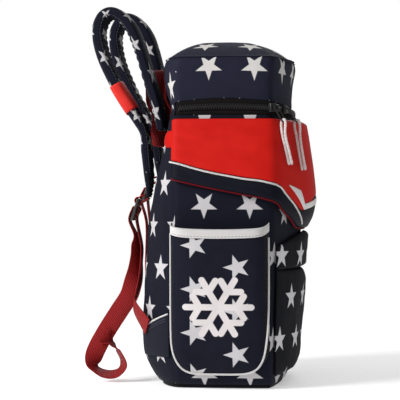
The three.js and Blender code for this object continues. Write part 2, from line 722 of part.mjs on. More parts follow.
// The front pocket's parts: a bag of cloth that stands off the front, closed down its side seams.
function frontPocketPart(bottomOf, topOf, depth, shares) {
  const start = FRONT_SEAM + 0.022;
  const girths = frontGirths(start);
  const grid = (off) => girths.map((girth) => shares.map((share) => {
    const z = THREE.MathUtils.lerp(bottomOf(girth), topOf(girth), share);
    const way = (1 - Math.abs(girth)) / (1 - start);
    const edge = Math.min(1, 4 * share * (1 - share) * 2.4);
    const stand = SEAT + depth * (1 - way ** 3) * Math.sqrt(edge);
    return onBody(girth, z, stand + off);
  }));
  return wall(grid(0), grid(FRONT_POCKET_WALL));
}

function frontPocket() {
  const shares = [0, 0.04, 0.15, 0.5, 0.85, 0.96, 1];
  return frontPocketPart(() => FRONT_POCKET_FLOOR, () => FRONT_POCKET_TOP, FRONT_POCKET_DEPTH, shares);
}

function frontFlap() {
  const shares = [0, 0.1, 0.5, 0.9, 1];
  const top = (girth) => FRONT_FLAP_TOP - FRONT_FLAP_SLOPE * ((1 - Math.abs(girth)) / (1 - FRONT_SEAM)) ** 2;
  return frontPocketPart(() => FRONT_POCKET_TOP + FRONT_POCKET_GAP, top, FRONT_FLAP_DEPTH, shares);
}

// The right strap is drawn in further than the left one, so its lock sits higher.
function lockLift(side) {
  return side < 0 ? RIGHT_LOCK_LIFT : 0;
}

// A padded strap's line and section, at a share of its length from root to end.
function strapLine(side) {
  const root = bodySkin(0, STRAP_ROOT).x;
  const lift = side < 0 ? RIGHT_STRAP_LIFT : 0;
  const points = STRAP_ROWS.map((row) => {
    const high = THREE.MathUtils.clamp(row.up, 0, 1);
    const below = THREE.MathUtils.clamp(row.up / STRAP_ROWS[STRAP_ROWS.length - 1].up, 0, 1);
    const rise = STRAP_RISE * Math.max(0, row.up);
    const drop = (STRAP_ROOT - LOCK_HEIGHT - LOCK_BELOW_STRAP) * below;
    const x = root - STRAP_REACH * row.out + lift * high;
    const z = STRAP_ROOT + rise - drop + lift * high + lockLift(side) * below;
    return new THREE.Vector3(x, -side * STRAP_SPREAD, z);
  });
  return new THREE.CatmullRomCurve3(points);
}

function strapShare(column, share) {
  const place = share * (STRAP_ROWS.length - 1);
  const k = Math.min(STRAP_ROWS.length - 2, Math.floor(place));
  return THREE.MathUtils.lerp(STRAP_ROWS[k][column], STRAP_ROWS[k + 1][column], place - k);
}

// One section of the strap: a rounded bar, gathered into small folds on the inside of the arch.
function strapRing(line, share, grow) {
  const middle = line.getPoint(share);
  const way = line.getTangent(share);
  const across = new THREE.Vector3(0, 1, 0);
  const inward = way.clone().cross(across).normalize();
  const halfWide = (STRAP_WIDTH / 2) * strapShare('wide', share) + grow;
  const halfThick = (STRAP_THICK / 2) * strapShare('thick', share) + grow;
  const folds = (2 * Math.PI * share * line.getLength()) / GATHER_PITCH;
  return Array.from({ length: STRAP_SECTION }, (_, k) => {
    const turn = (2 * Math.PI * (k + 0.5)) / STRAP_SECTION;
    const flat = Math.sign(Math.cos(turn)) * Math.abs(Math.cos(turn)) ** 0.45;
    const deep = Math.sign(Math.sin(turn)) * Math.abs(Math.sin(turn)) ** 0.6;
    const gather = Math.max(0, deep) * GATHER_DEPTH * (Math.sin(folds) - 1);
    const point = middle.clone().addScaledVector(across, flat * halfWide);
    return point.addScaledVector(inward, deep * halfThick + gather);
  });
}

function shoulderStrap(side) {
  const line = strapLine(side);
  const rings = Array.from({ length: STRAP_STEPS + 1 }, (_, k) => strapRing(line, k / STRAP_STEPS, 0));
  return loft(rings);
}

// A bare label folded round the near edge of the left strap.
function strapLabel() {
  const line = strapLine(1);
  const shares = LABEL_STEPS.map((step) => step / STRAP_STEPS);
  const grid = (grow) => shares.map((share) => strapRing(line, share, grow).slice(2, 8));
  return wall(grid(CLEAR), grid(CLEAR + LABEL_THICK));
}

// The haul loop: webbing on edge to the back, arched from foot to foot behind the lid.
function haulLoop() {
  const steps = 18;
  const middles = [];
  for (let k = 0; k <= steps; k += 1) {
    const turn = (Math.PI * k) / steps;
    const up = Math.sin(turn) ** 0.6;
    const z = HAUL_FOOT + HAUL_RISE * up;
    const skin = -bodySkin(0, Math.min(BODY_TOP, z)).x;
    const clearOfLid = LID_BACK * THREE.MathUtils.smoothstep(z, BODY_TOP - LID_GAP, LID_BOTTOM);
    const x = -Math.max(skin, clearOfLid) - SEAT - WEB_WIDTH / 2 - HAUL_LEAN * up;
    middles.push(new THREE.Vector3(x, -HAUL_HALF_WIDTH * Math.cos(turn), z));
  }
  const across = middles.map(() => new THREE.Vector3(1, 0, 0));
  return ribbon(middles, across, WEB_WIDTH, WEB_THICK);
}

// The ladder lock: a frame with two slots, its bars across the strap.
const LOCK_TOP_BAR = LOCK_LENGTH / 2 - LOCK_BAR / 2;
const LOCK_MID_BAR = LOCK_LENGTH / 2 - LOCK_BAR - LOCK_SLOT - LOCK_BAR / 2;

function ladderLock() {
  const halfWidth = LOCK_WIDTH / 2;
  const halfLength = LOCK_LENGTH / 2;
  const box = (Kind, half, top, bottom) => {
    const outline = new Kind();
    outline.moveTo(-half, bottom);
    outline.lineTo(half, bottom);
    outline.lineTo(half, top);
    outline.lineTo(-half, top);
    outline.closePath();
    return outline;
  };
  const frame = box(THREE.Shape, halfWidth, halfLength, -halfLength);
  const slotHalf = halfWidth - LOCK_BAR;
  const topSlot = LOCK_TOP_BAR - LOCK_BAR / 2;
  const lowSlot = LOCK_MID_BAR - LOCK_BAR / 2;
  frame.holes.push(box(THREE.Path, slotHalf, topSlot, topSlot - LOCK_SLOT));
  frame.holes.push(box(THREE.Path, slotHalf, lowSlot, lowSlot - LOCK_SLOT / 2));
  const geometry = new THREE.ExtrudeGeometry(frame, { depth: LOCK_THICK, bevelEnabled: false });
  geometry.translate(0, 0, -LOCK_THICK / 2);
  const upright = new THREE.Matrix4().makeBasis(
    new THREE.Vector3(0, 1, 0),
    new THREE.Vector3(0, 0, 1),
    new THREE.Vector3(1, 0, 0),
  );
  return geometry.applyMatrix4(upright);
}

function lockPlace(side) {
  const x = bodySkin(0, LOCK_HEIGHT).x - LOCK_OUT - LOCK_THICK / 2;
  return new THREE.Vector3(x, -side * STRAP_SPREAD, LOCK_HEIGHT + lockLift(side));
}

// A point by the lock: in towards the bag and up along the frame, from its middle.
function byLock(side, inward, up) {
  const turn = new THREE.Vector3(inward, 0, up).applyAxisAngle(new THREE.Vector3(0, 1, 0), LOCK_TILT);
  return lockPlace(side).add(turn);
}

// How far webbing's middle stands from the middle of a bar that it turns round.
const ROUND_BAR = Math.hypot(LOCK_THICK, LOCK_BAR) / 2 + SEAT + WEB_THICK / 2;

// The short loop of webbing from under the padded strap's end, round the lock's top bar and back.
function strapLoop(side) {
  const end = strapLine(side).getPoint(1);
  const endThick = STRAP_THICK * STRAP_ROWS[STRAP_ROWS.length - 1].thick;
  const round = girthsBetween(0.3, 1.45 * Math.PI, 10).map((turn) => {
    return byLock(side, Math.cos(turn) * ROUND_BAR, LOCK_TOP_BAR - Math.sin(turn) * ROUND_BAR);
  });
  const start = new THREE.Vector3(end.x, end.y, end.z - SEAT - WEB_THICK / 2);
  const last = new THREE.Vector3(end.x - endThick / 2 - SEAT - WEB_THICK / 2, end.y, end.z + 2 * WEB_THICK);
  const middles = [start, ...round, last];
  const across = middles.map(() => new THREE.Vector3(0, 1, 0));
  return ribbon(middles, across, WEB_WIDTH, WEB_THICK);
}

// One piece of webbing: sewn on the wing, up the back, over the lock's middle bar and down as a tail.
function strapWebbing(side) {
  const spread = -side * STRAP_SPREAD;
  const rows = [];
  const put = (point, wx, wy, wz) => rows.push({ point, across: new THREE.Vector3(wx, wy, wz) });
  const wingFace = SEAT + WING_THICK + SEAT + WEB_THICK / 2;
  put(onBody(side * 0.25, WING_TOP * 0.8, wingFace + WEB_WIDTH / 12), 0.35, -side * 0.6, 0.7);
  for (const row of WEB_RUN) {
    const x = bodySkin(0, LOCK_HEIGHT * row.up).x - LOCK_OUT * row.out;
    put(new THREE.Vector3(x, spread * (1 + row.side), LOCK_HEIGHT * row.up), row.wx, -side * row.wy, row.wz);
  }
  put(byLock(side, ROUND_BAR, -LOCK_LENGTH * 0.42), 0, -side, 0);
  for (const turn of girthsBetween(0, Math.PI, 4)) {
    const up = LOCK_MID_BAR + ROUND_BAR * Math.sin(turn);
    put(byLock(side, ROUND_BAR * Math.cos(turn), up), 0, -side, 0);
  }
  put(byLock(side, -ROUND_BAR, -LOCK_LENGTH * 0.52), 0, -side, 0);
  const tail = side > 0 ? TAIL_LEFT : TAIL_RIGHT;
  for (const row of tail) {
    const x = -BODY_BACK - TAIL_REACH * row.out;
    const y = spread - side * WEB_WIDTH * row.fore;
    const z = LOCK_HEIGHT * row.up + lockLift(side) / 2;
    put(new THREE.Vector3(x, y, z), -side * row.wx, -side * row.wy, -side * row.wz);
  }
  const middles = new THREE.CatmullRomCurve3(rows.map((row) => row.point));
  const last = rows.length - 1;
  const steps = 2 * last;
  const points = [];
  const across = [];
  for (let k = 0; k <= steps; k += 1) {
    const place = (k * last) / steps;
    const low = Math.min(last - 1, Math.floor(place));
    points.push(middles.getPoint(k / steps));
    across.push(rows[low].across.clone().lerp(rows[low + 1].across, place - low).normalize());
  }
  return ribbon(points, across, WEB_WIDTH, WEB_THICK);
}

// The stitched wing that the webbing is sewn to, low on the rear corner.
function strapWing(side) {
  const girths = girthsBetween(0.19, 0.335, 7);
  const grid = (off) => girths.map((girth, k) => girthsBetween(0, 1, 5).map((share) => {
    const top = WING_TOP - (WING_TOP - WING_FLOOR) * 0.42 * (1 - k / 7);
    return onBody(side * girth, THREE.MathUtils.lerp(WING_FLOOR, top, share), off);
  }));
  return wall(grid(SEAT), grid(SEAT + WING_THICK));
}

// Sets a piece on the zip: its own x along the zip, its z outwards, then turned in its plane and tipped.
function setOnZip(mesh, girth, off, turn, tip) {
  const ahead = inZipGap(girth + 0.01, 0.5, 0);
  const along = ahead.sub(inZipGap(girth - 0.01, 0.5, 0)).setZ(0).normalize();
  const up = new THREE.Vector3(0, 0, 1);
  const basis = new THREE.Matrix4().makeBasis(along, up, along.clone().cross(up));
  const tilt = new THREE.Matrix4().makeRotationX(tip);
  const swing = new THREE.Matrix4().makeRotationZ(turn);
  mesh.quaternion.setFromRotationMatrix(basis.multiply(tilt).multiply(swing));
  mesh.position.copy(inZipGap(girth, 0.5, off));
}

function lace(route) {
  const path = new THREE.CatmullRomCurve3(route.map(([x, y, z]) => new THREE.Vector3(x, y, z)));
  const section = new THREE.Shape();
  const radius = LACE_THICK / 2;
  for (let k = 0; k < LACE_SIDES; k += 1) {
    const turn = (2 * Math.PI * k) / LACE_SIDES;
    const point = [radius * Math.cos(turn), radius * Math.sin(turn)];
    if (k === 0) {
      section.moveTo(...point);
    } else {
      section.lineTo(...point);
    }
  }
  section.closePath();
  return new THREE.ExtrudeGeometry(section, { steps: LACE_STEPS, extrudePath: path });
}

group.name = 'glove_backpack';
add('bag_body', bagBody(), NAVY, 0.85, 0);
add('bag_base', bagBase(), BLACK, 0.8, 0);
add('bag_lid', bagLid(), NAVY, 0.85, 0);
add('lid_hinge', lidHinge(), NAVY, 0.85, 0);
add('zip_tape', zipTape(), BLACK, 0.9, 0);
add('zip_chain', zipChain(), BLACK, 0.5, 0);
add('wrap_shell', wrapShell(), RED, 0.6, 0);
add('wrap_band', wrapBand(), NAVY, 0.6, 0);
add('front_pocket', frontPocket(), NAVY, 0.85, 0);
add('front_flap', frontFlap(), NAVY, 0.85, 0);
for (const [name, side] of [['left', 1], ['right', -1]]) {
  add(`wrap_piping_${name}`, wrapPiping(side), WHITE, 0.6, 0);
  add(`wrap_tab_${name}`, wrapTab(side), RED, 0.8, 0);
  add(`side_pocket_${name}`, sidePocket(side), NAVY, 0.85, 0);
  add(`pocket_binding_${name}`, pocketBinding(side), WHITE, 0.8, 0);
  add(`shoulder_strap_${name}`, shoulderStrap(side), NAVY, 0.85, 0);
  add(`strap_loop_${name}`, strapLoop(side), WEB_RED, 0.8, 0);
  add(`strap_webbing_${name}`, strapWebbing(side), WEB_RED, 0.8, 0);
  add(`strap_wing_${name}`, strapWing(side), NAVY, 0.85, 0);
  const lock = add(`ladder_lock_${name}`, ladderLock(), BLACK, 0.45, 0);
  lock.position.copy(lockPlace(side));
  lock.rotation.y = LOCK_TILT;
}
add('strap_label', strapLabel(), RED, 0.7, 0);
add('haul_loop', haulLoop(), WEB_RED, 0.8, 0);

const ZIP_FACE = CLEAR + CHAIN_THICK + SEAT;
const PULLS = [
  { name: 'rear', girth: 0.65, turn: 0.42, pitch: 0.3, route: LACE_NEAR_REAR },
  { name: 'front', girth: 0.725, turn: 0.42, pitch: 0.5, route: LACE_NEAR_FRONT },
];
for (const { name, girth, turn, pitch, route } of PULLS) {
  setOnZip(add(`zip_slider_${name}`, zipSlider(), BLACK, 0.4, 0.3), girth, ZIP_FACE, 0, 0);
  const face = ZIP_FACE + SLIDER_THICK + CLEAR + (PULL_WIDTH / 2) * Math.sin(pitch);
  setOnZip(add(`zip_pull_${name}`, zipPull(), BLACK, 0.4, 0.6), girth, face, turn, -pitch);
  add(`zip_lace_${name}`, lace(route), WHITE, 0.9, 0);
}

export default group;
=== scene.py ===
# A backpack for goalkeeper's gloves: star-printed navy cloth, a domed lid that zips on, a moulded red
# foam wrap, bellows pockets and padded straps with red webbing. Blender makes the looks over the frame
# that the CAD model gives. Sizes are millimetres, and each mesh is scaled to metres as it is made.
from math import cos, pi, radians, sin

import bmesh
import bpy
import numpy as np
from mathutils import Matrix, Vector, noise


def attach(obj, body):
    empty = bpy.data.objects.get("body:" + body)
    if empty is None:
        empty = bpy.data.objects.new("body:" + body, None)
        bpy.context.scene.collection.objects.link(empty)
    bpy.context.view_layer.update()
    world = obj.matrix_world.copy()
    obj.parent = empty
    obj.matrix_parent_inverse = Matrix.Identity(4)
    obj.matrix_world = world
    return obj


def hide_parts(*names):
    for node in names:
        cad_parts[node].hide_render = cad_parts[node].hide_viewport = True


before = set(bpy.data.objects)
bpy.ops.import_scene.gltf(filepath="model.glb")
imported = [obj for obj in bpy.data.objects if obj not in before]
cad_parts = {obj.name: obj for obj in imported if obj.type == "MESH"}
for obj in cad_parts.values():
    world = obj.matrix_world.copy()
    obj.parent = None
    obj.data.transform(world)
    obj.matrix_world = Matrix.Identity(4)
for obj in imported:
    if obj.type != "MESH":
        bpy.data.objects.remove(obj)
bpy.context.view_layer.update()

# ---- Camera ----
# A long lens a little to the front of square-on to the bag's left side, level with its middle.
AIM = Vector((-36.5, 0.0, 244.0))
AZIMUTH = radians(5.0)
DISTANCE = 2200.0
FOCAL_PIXELS = 1594.0
PICTURE_PIXELS = 400.0
MM = 0.001

bpy.ops.object.select_all(action="DESELECT")
camera_data = bpy.data.cameras.new("camera")
camera = bpy.data.objects.new("camera", camera_data)
bpy.context.collection.objects.link(camera)
camera_data.sensor_width = 36.0
camera_data.lens = camera_data.sensor_width * FOCAL_PIXELS / PICTURE_PIXELS
camera.location = MM * (AIM + DISTANCE * Vector((sin(AZIMUTH), -cos(AZIMUTH), 0.0)))
camera.rotation_euler = (MM * AIM - camera.location).to_track_quat("-Z", "Y").to_euler()
bpy.context.scene.camera = camera
bpy.context.scene.view_settings.view_transform = "Standard"


# ---- Laces on the zip pulls ----
# Round braided laces, white with a few red and navy threads, doubled through the eye of each pull and
# left to hang, their cut ends a little frayed.
LACE_THICK = 3.4
LACE_REAR = [
    (90.7, -130.4, 289.4), (87.5, -133.8, 303.9), (85.8, -135.9, 312.0), (83.7, -137.7, 321.0),
    (81.7, -138.7, 330.0), (80.5, -137.7, 339.5), (81.2, -138.2, 345.1), (83.2, -140.3, 347.6),
    (85.2, -142.4, 346.9), (86.2, -143.5, 342.5), (85.7, -142.5, 332.0), (87.2, -140.6, 321.0),
    (89.5, -137.9, 312.0), (91.3, -135.6, 304.0), (94.2, -131.8, 289.8),
]
LACE_FRONT = [
    (106.8, -91.5, 282.9), (103.9, -94.1, 298.9), (102.2, -96.2, 308.3), (100.6, -97.7, 318.5),
    (99.0, -99.0, 328.5), (96.8, -98.9, 338.6), (96.6, -99.2, 345.5), (99.2, -99.9, 348.3),
    (102.1, -100.6, 348.1), (103.6, -101.1, 342.3), (103.8, -101.1, 330.1), (104.8, -99.6, 319.1),
    (106.4, -97.9, 308.9), (108.0, -95.8, 299.1), (110.8, -92.9, 283.4),
]


def colour(hex_colour):
    """An sRGB hex value as a linear colour."""
    parts = [int(hex_colour[k:k + 2], 16) / 255 for k in (0, 2, 4)]
    linear = [p / 12.92 if p <= 0.04045 else ((p + 0.055) / 1.055) ** 2.4 for p in parts]
    return (*linear, 1.0)


def add(tree, kind, links=None, **settings):
    """A node with its settings: names of properties, or sockets by number; links are input: output."""
    node = tree.nodes.new(kind)
    for key, value in settings.items():
        if key.startswith("in_"):
            node.inputs[int(key[3:])].default_value = value
        else:
            setattr(node, key, value)
    for socket, output in (links or {}).items():
        tree.links.new(output, node.inputs[socket])
    return node


def calc(tree, operation, *values):
    """A maths node on outputs or plain numbers, and its output."""
    node = add(tree, "ShaderNodeMath", operation=operation)
    for k, value in enumerate(values):
        if isinstance(value, (int, float)):
            node.inputs[k].default_value = value
        else:
            tree.links.new(value, node.inputs[k])
    return node.outputs[0]


def material(name, roughness, **sockets):
    """A new material: its tree, its shader and itself, with constants set on the shader's sockets."""
    made = bpy.data.materials.new(name)
    made.use_nodes = True
    shader = made.node_tree.nodes["Principled BSDF"]
    shader.inputs["Roughness"].default_value = roughness
    for socket, value in sockets.items():
        shader.inputs[socket.replace("_", " ")].default_value = value
    return made, made.node_tree, shader


def bump(tree, shader, height, depth, strength=1.0):
    """Bump of a real depth in millimetres from a height between 0 and 1."""
    node = add(tree, "ShaderNodeBump", {"Height": height})
    node.inputs["Distance"].default_value = depth * MM
    node.inputs["Strength"].default_value = strength
    tree.links.new(node.outputs[0], shader.inputs["Normal"])


def tinted(tree, shader, share, dark, light, low=0.0, high=1.0):
    """Colours the shader from dark at a share of low to light at a share of high."""
    ramp = add(tree, "ShaderNodeValToRGB", {0: share})
    for stop, at, ink in zip(ramp.color_ramp.elements, (low, high), (dark, light)):
        stop.position = at
        stop.color = colour(ink)
    tree.links.new(ramp.outputs[0], shader.inputs["Base Color"])
    return ramp


def wave(tree, value, pitch):
    """A wave from -1 to 1 along a value in millimetres."""
    return calc(tree, "SINE", calc(tree, "MULTIPLY", value, 2 * pi / pitch))


def halfway(tree, value):
    """A value from -1 to 1 as a share from 0 to 1."""
    return calc(tree, "ADD", 0.5, calc(tree, "MULTIPLY", value, 0.5))


def chart_axes(tree):
    """The piece's own chart, in millimetres, as two outputs."""
    where = add(tree, "ShaderNodeTexCoord")
    split = add(tree, "ShaderNodeSeparateXYZ", {0: where.outputs["UV"]})
    return split.outputs[0], split.outputs[1], where.outputs["UV"]


# Braided polyester lace: matt, soft, with a plait of threads about 1.2 mm apart and odd coloured flecks.
lace_cloth, tree, shader = material("braided_polyester", 0.85, Sheen_Weight=0.3, Specular_IOR_Level=0.25)
across, along, chart = chart_axes(tree)
plait_one = wave(tree, calc(tree, "ADD", along, across), 2.4)
plait_two = wave(tree, calc(tree, "SUBTRACT", along, across), 2.4)
plait = calc(tree, "MULTIPLY", plait_one, plait_two)
flecks = add(tree, "ShaderNodeTexNoise", {0: chart}, in_2=0.55, in_3=2.0)
shade = tinted(tree, shader, flecks.outputs[0], "b0474a", "eee5e2", 0.33, 0.4)
for at, ink in ((0.67, "eee5e2"), (0.72, "6a6f93")):
    shade.color_ramp.elements.new(at).color = colour(ink)
bump(tree, shader, plait, 0.3)


def run(path):
    """How far along a path each of its rows is."""
    return np.concatenate([[0], np.cumsum(np.linalg.norm(np.diff(path, axis=0), axis=1))])


def unit(rows):
    """Rows of directions, each brought to length 1."""
    return rows / np.linalg.norm(rows, axis=-1)[..., None]


def curve_through(points, shares):
    """Places on a smooth curve through points, at shares of its rows from 0 to 1."""
    points = np.asarray(points, float)
    padded = np.vstack([2 * points[0] - points[1], points, 2 * points[-1] - points[-2]])
    place = np.clip(np.asarray(shares, float), 0, 1) * (len(points) - 1)
    k = np.minimum(place.astype(int), len(points) - 2)
    t = (place - k)[:, None]
    a, b, c, d = (padded[k + j] for j in range(4))
    return b + 0.5 * t * (c - a + t * (2 * a - 5 * b + 4 * c - d + t * (3 * (b - c) + d - a)))


def panel(name, columns, rows, place, finish, chart=None, wall=0.0, flip=False, pick=None, merge=False):
    """A grid laid out on place(u, v), which gives millimetres, and charted in millimetres by chart(u, v,
    middle u, middle v); with a wall, it is thickened inwards. pick gives a face its material's number."""
    bpy.ops.object.select_all(action="DESELECT")
    bpy.ops.mesh.primitive_grid_add(x_subdivisions=columns, y_subdivisions=rows, size=1.0)
    piece = bpy.context.object
    piece.name = name
    piece.data.name = name
    mesh = piece.data
    flat = np.empty(len(mesh.vertices) * 3)
    mesh.vertices.foreach_get("co", flat)
    u = np.round(flat[0::3] + 0.5, 6)
    v = np.round(flat[1::3] + 0.5, 6)
    places = np.asarray(place(u, v), float) * MM
    mesh.vertices.foreach_set("co", places.ravel())
    corners = np.empty(len(mesh.loops), int)
    mesh.loops.foreach_get("vertex_index", corners)
    per_face = corners.reshape(-1, 4)
    middle_u = np.repeat(u[per_face].mean(axis=1), 4)
    middle_v = np.repeat(v[per_face].mean(axis=1), 4)
    if chart is not None:
        charted = np.stack(chart(u[corners], v[corners], middle_u, middle_v), axis=1)
        mesh.uv_layers.active.data.foreach_set("uv", charted.astype(np.float32).ravel())
    for one in finish if isinstance(finish, (list, tuple)) else [finish]:
        mesh.materials.append(one)
    if pick is not None:
        mesh.polygons.foreach_set("material_index", np.asarray(pick(middle_u[::4], middle_v[::4]), int))
    mesh.update()
    if flip or merge:
        bpy.ops.object.mode_set(mode="EDIT")
        bpy.ops.mesh.select_all(action="SELECT")
        if merge:
            bpy.ops.mesh.remove_doubles(threshold=0.00002)
        if flip:
            bpy.ops.mesh.flip_normals()
        bpy.ops.object.mode_set(mode="OBJECT")
    bpy.ops.object.shade_smooth()
    if wall:
        thick = piece.modifiers.new("wall", "SOLIDIFY")
        thick.thickness = wall * MM
        thick.offset = -1.0
        thick.use_even_offset = False
        bpy.ops.object.modifier_apply(modifier=thick.name)
    return piece


def tube(name, path, radius, finish, sides=10, steps=60, up=None):
    """A round tube along path, with closed ends; radius may be a function of the share of its length."""
    path = np.asarray(path, float)
    if steps:
        path = curve_through(path, np.linspace(0, 1, steps + 1))
    way = unit(np.gradient(path, axis=0))
    side = unit(np.cross(way, np.asarray(up if up is not None else (0.31, -0.2, 0.93), float)))
    over = np.cross(side, way)
    far = run(path)
    size = radius if callable(radius) else (lambda share: radius + 0 * share)
    rows = len(path) - 1

    def place(u, v):
        row = np.clip((v * (rows + 2)).round().astype(int) - 1, 0, rows)
        cap = (v < 0.5 / (rows + 2)) | (v > 1 - 0.5 / (rows + 2))
        reach = np.where(cap, 0.0, size(row / rows))
        turn = 2 * pi * u
        return path[row] + reach[:, None] * (
            np.cos(turn)[:, None] * side[row] + np.sin(turn)[:, None] * over[row])

    def chart(u, v, mu, mv):
        row = np.clip((v * (rows + 2)).round().astype(int) - 1, 0, rows)
        return u * 2 * pi * np.mean(size(np.linspace(0, 1, 9))), far[row]

    return panel(name, sides, rows + 2, place, finish, chart, flip=True, merge=True)


def fit(piece, node=None):
    """Ties a piece to the one body and hides the CAD node it stands for."""
    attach(piece, "root")
    if node:
        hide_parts(node)


def strand_radius(share):
    """A strand is even, and its frayed end stands open a little before it rounds off."""
    return LACE_THICK / 2 * np.where(share > 0.992, 0.6, np.where(share > 0.94, 1.16, 1.0))


for name, route in (("rear", LACE_REAR), ("front", LACE_FRONT)):
    top = len(route) // 2
    for strand, points in (("back", route[top::-1]), ("fore", route[top:])):
        path = curve_through(points, np.linspace(0, 1, 57))
        lace = tube(f"lace_{name}_{strand}", path, strand_radius, lace_cloth, steps=0, up=(0.7, 0.7, 0.1))
        fit(lace, f"zip_lace_{name}")


# ---- Body ----
# The main bag: a padded drum of printed polyester canvas, sewn from a back with slanted corners, two
# flat sides and a front, with the seams turned in.
BODY_TOP = 354.0
BODY_BACK = 108.0
BODY_FRONT = 104.0
HALF_WIDTH = 146.0
BODY_WALL = 3.0
SEAM_BACK = 58.0
SEAM_AHEAD = 65.0
REAR_SEAM = 0.35
FRONT_SEAM = 0.645
# girth, along, side
PLAN = [
    (0.0, 0.0, 0.0), (0.14, 0.0, 0.44), (0.2, 0.03, 0.63), (0.28, 0.115, 0.84), (0.35, 0.225, 0.98),
    (0.38, 0.28, 1.0), (0.51, 0.55, 1.01), (0.645, 0.83, 0.99), (0.665, 0.865, 0.93),
    (0.75, 0.925, 0.68), (0.87, 0.98, 0.35), (1.0, 1.0, 0.0),
]
# up, back, front, wide
BODY_LEVELS = [
    (0.0, 0.768, 0.769, 0.877), (0.04, 0.87, 0.837, 0.945), (0.107, 0.97, 0.86, 0.98),
    (0.175, 1.0, 0.868, 0.993), (0.294, 0.99, 0.905, 1.0), (0.438, 0.965, 0.952, 1.0),
    (0.576, 0.942, 0.995, 1.0), (0.689, 0.889, 1.0, 0.997), (0.777, 0.833, 0.974, 0.988),
    (0.876, 0.745, 0.942, 0.972), (1.0, 0.662, 0.909, 0.945),
]
# Star print: stars 59 mm apart in rows 54.6 mm apart, every other row set half way along.
STAR_APART = 59.0
STAR_ROWS = 54.6
STAR_REACH = 18.9
STAR_WAIST = 0.4
SEAM_DEPTH = 1.1
SEAM_HALF = 0.006
CLOTH_FOOT = 4.3


def smooth(rows, column, at):
    """The value of a table's column where its first column is at, on a smooth curve through the rows."""
    keys = np.array([row[0] for row in rows], float)
    values = np.array([row[column] for row in rows], float)
    last = len(rows) - 1
    low = np.maximum(np.arange(last + 1) - 1, 0)
    high = np.minimum(np.arange(last + 1) + 1, last)
    slope = (values[high] - values[low]) / (keys[high] - keys[low])
    at = np.asarray(at, float)
    k = np.clip(np.searchsorted(keys, at), 1, last)
    span = keys[k] - keys[k - 1]
    t = np.clip((at - keys[k - 1]) / span, 0, 1)
    rise = t * t * (3 - 2 * t)
    leave = t * (1 - t) ** 2 * span * slope[k - 1]
    arrive = t * t * (1 - t) * span * slope[k]
    return values[k - 1] * (1 - rise) + values[k] * rise + leave - arrive


def ease(at, low, high):
    """A smooth step from 0 at low to 1 at high."""
    t = np.clip((np.asarray(at, float) - low) / (high - low), 0, 1)
    return t * t * (3 - 2 * t)


def section(levels, up, girth, z, back, front, wide):
    """The skin of body or lid: girth runs from -1, front on the right, over 0, back, to 1, front left."""
    back = back * smooth(levels, 1, up)
    front = front * smooth(levels, 2, up)
    wide = wide * smooth(levels, 3, up)
    way = np.abs(girth)
    along = smooth(PLAN, 1, way)
    rear = smooth(PLAN, 1, REAR_SEAM)
    fore = smooth(PLAN, 1, FRONT_SEAM)
    flat = -SEAM_BACK + (SEAM_AHEAD + SEAM_BACK) * (along - rear) / (fore - rear)
    behind = -SEAM_BACK - (back - SEAM_BACK) * (1 - along / rear)
    ahead = SEAM_AHEAD + (front - SEAM_AHEAD) * (along - fore) / (1 - fore)
    x = np.where(along < rear, behind, np.where(along > fore, ahead, flat))
    y = -np.sign(girth) * smooth(PLAN, 2, way) * wide
    return np.stack([x, y, z + 0 * x], axis=-1)


def body_skin(girth, z):
    return section(BODY_LEVELS, z / BODY_TOP, girth, z, BODY_BACK, BODY_FRONT, HALF_WIDTH)


def back_at(z):
    """Where the middle of the body's back stands at one height."""
    return body_skin(0.0, z)[0]


def outward(skin, girth, z, low, high):
    """The outward normal of a skin."""
    round_way = skin(np.minimum(1, girth + 0.01), z) - skin(np.maximum(-1, girth - 0.01), z)
    up_way = skin(girth, np.minimum(high, z + 2)) - skin(girth, np.maximum(low, z - 2))
    return unit(np.cross(round_way, up_way))


def on_body(girth, z, off):
    """A place that stands off the body's skin."""
    girth, z, off = np.broadcast_arrays(*(np.asarray(a, float) for a in (girth, z, off)))
    return body_skin(girth, z) + outward(body_skin, girth, z, 0, BODY_TOP) * off[..., None]


def rumple(places, size, depth, seed=0.0):
    """Smooth uneven waves, as soft cloth has: a height for each place."""
    return np.array([depth * noise.noise(Vector(p / size) + Vector((seed, 0, 0))) for p in places])


def seam_dip(girth, seams, depth=SEAM_DEPTH, half=SEAM_HALF):
    """How far a turned-in seam draws the cloth in, by girth."""
    return sum(depth * np.exp(-((np.abs(girth) - seam) / half) ** 2) for seam in seams)


def arc_of(skin, z, count=801):
    """Distance along a skin from the back, by girth, at one height."""
    girths = np.linspace(0, 1, count)
    ring = skin(girths, z + 0 * girths)
    far = run(ring[:, :2])
    return lambda girth: np.interp(np.abs(girth), girths, far)


def repeated(tree, value, span, shift=0.0):
    """A value that starts again after each span, from minus half of it to half."""
    wrapped = calc(tree, "FLOORED_MODULO", calc(tree, "ADD", value, span / 2 + shift), span)
    return calc(tree, "SUBTRACT", wrapped, span / 2)


def distance(tree, x, y):
    """How far a place is from the middle."""
    return calc(tree, "SQRT", calc(tree, "ADD", calc(tree, "MULTIPLY", x, x), calc(tree, "MULTIPLY", y, y)))


def folded(tree, x, y, part):
    """A place round a middle folded into one half of a part of the turn: out along the part and off it."""
    reach = distance(tree, x, y)
    fold = calc(tree, "ABSOLUTE", repeated(tree, calc(tree, "ARCTAN2", x, y), part))
    return [calc(tree, "MULTIPLY", reach, calc(tree, way, fold)) for way in ("COSINE", "SINE")]


INK_EDGE = 1.4


def inked(tree, inside):
    """Ink from 0 to 1, from how far inside a printed shape a place is, with a slightly soft edge."""
    return calc(tree, "MINIMUM", calc(tree, "MAXIMUM", calc(tree, "MULTIPLY", inside, INK_EDGE), 0.0), 1.0)


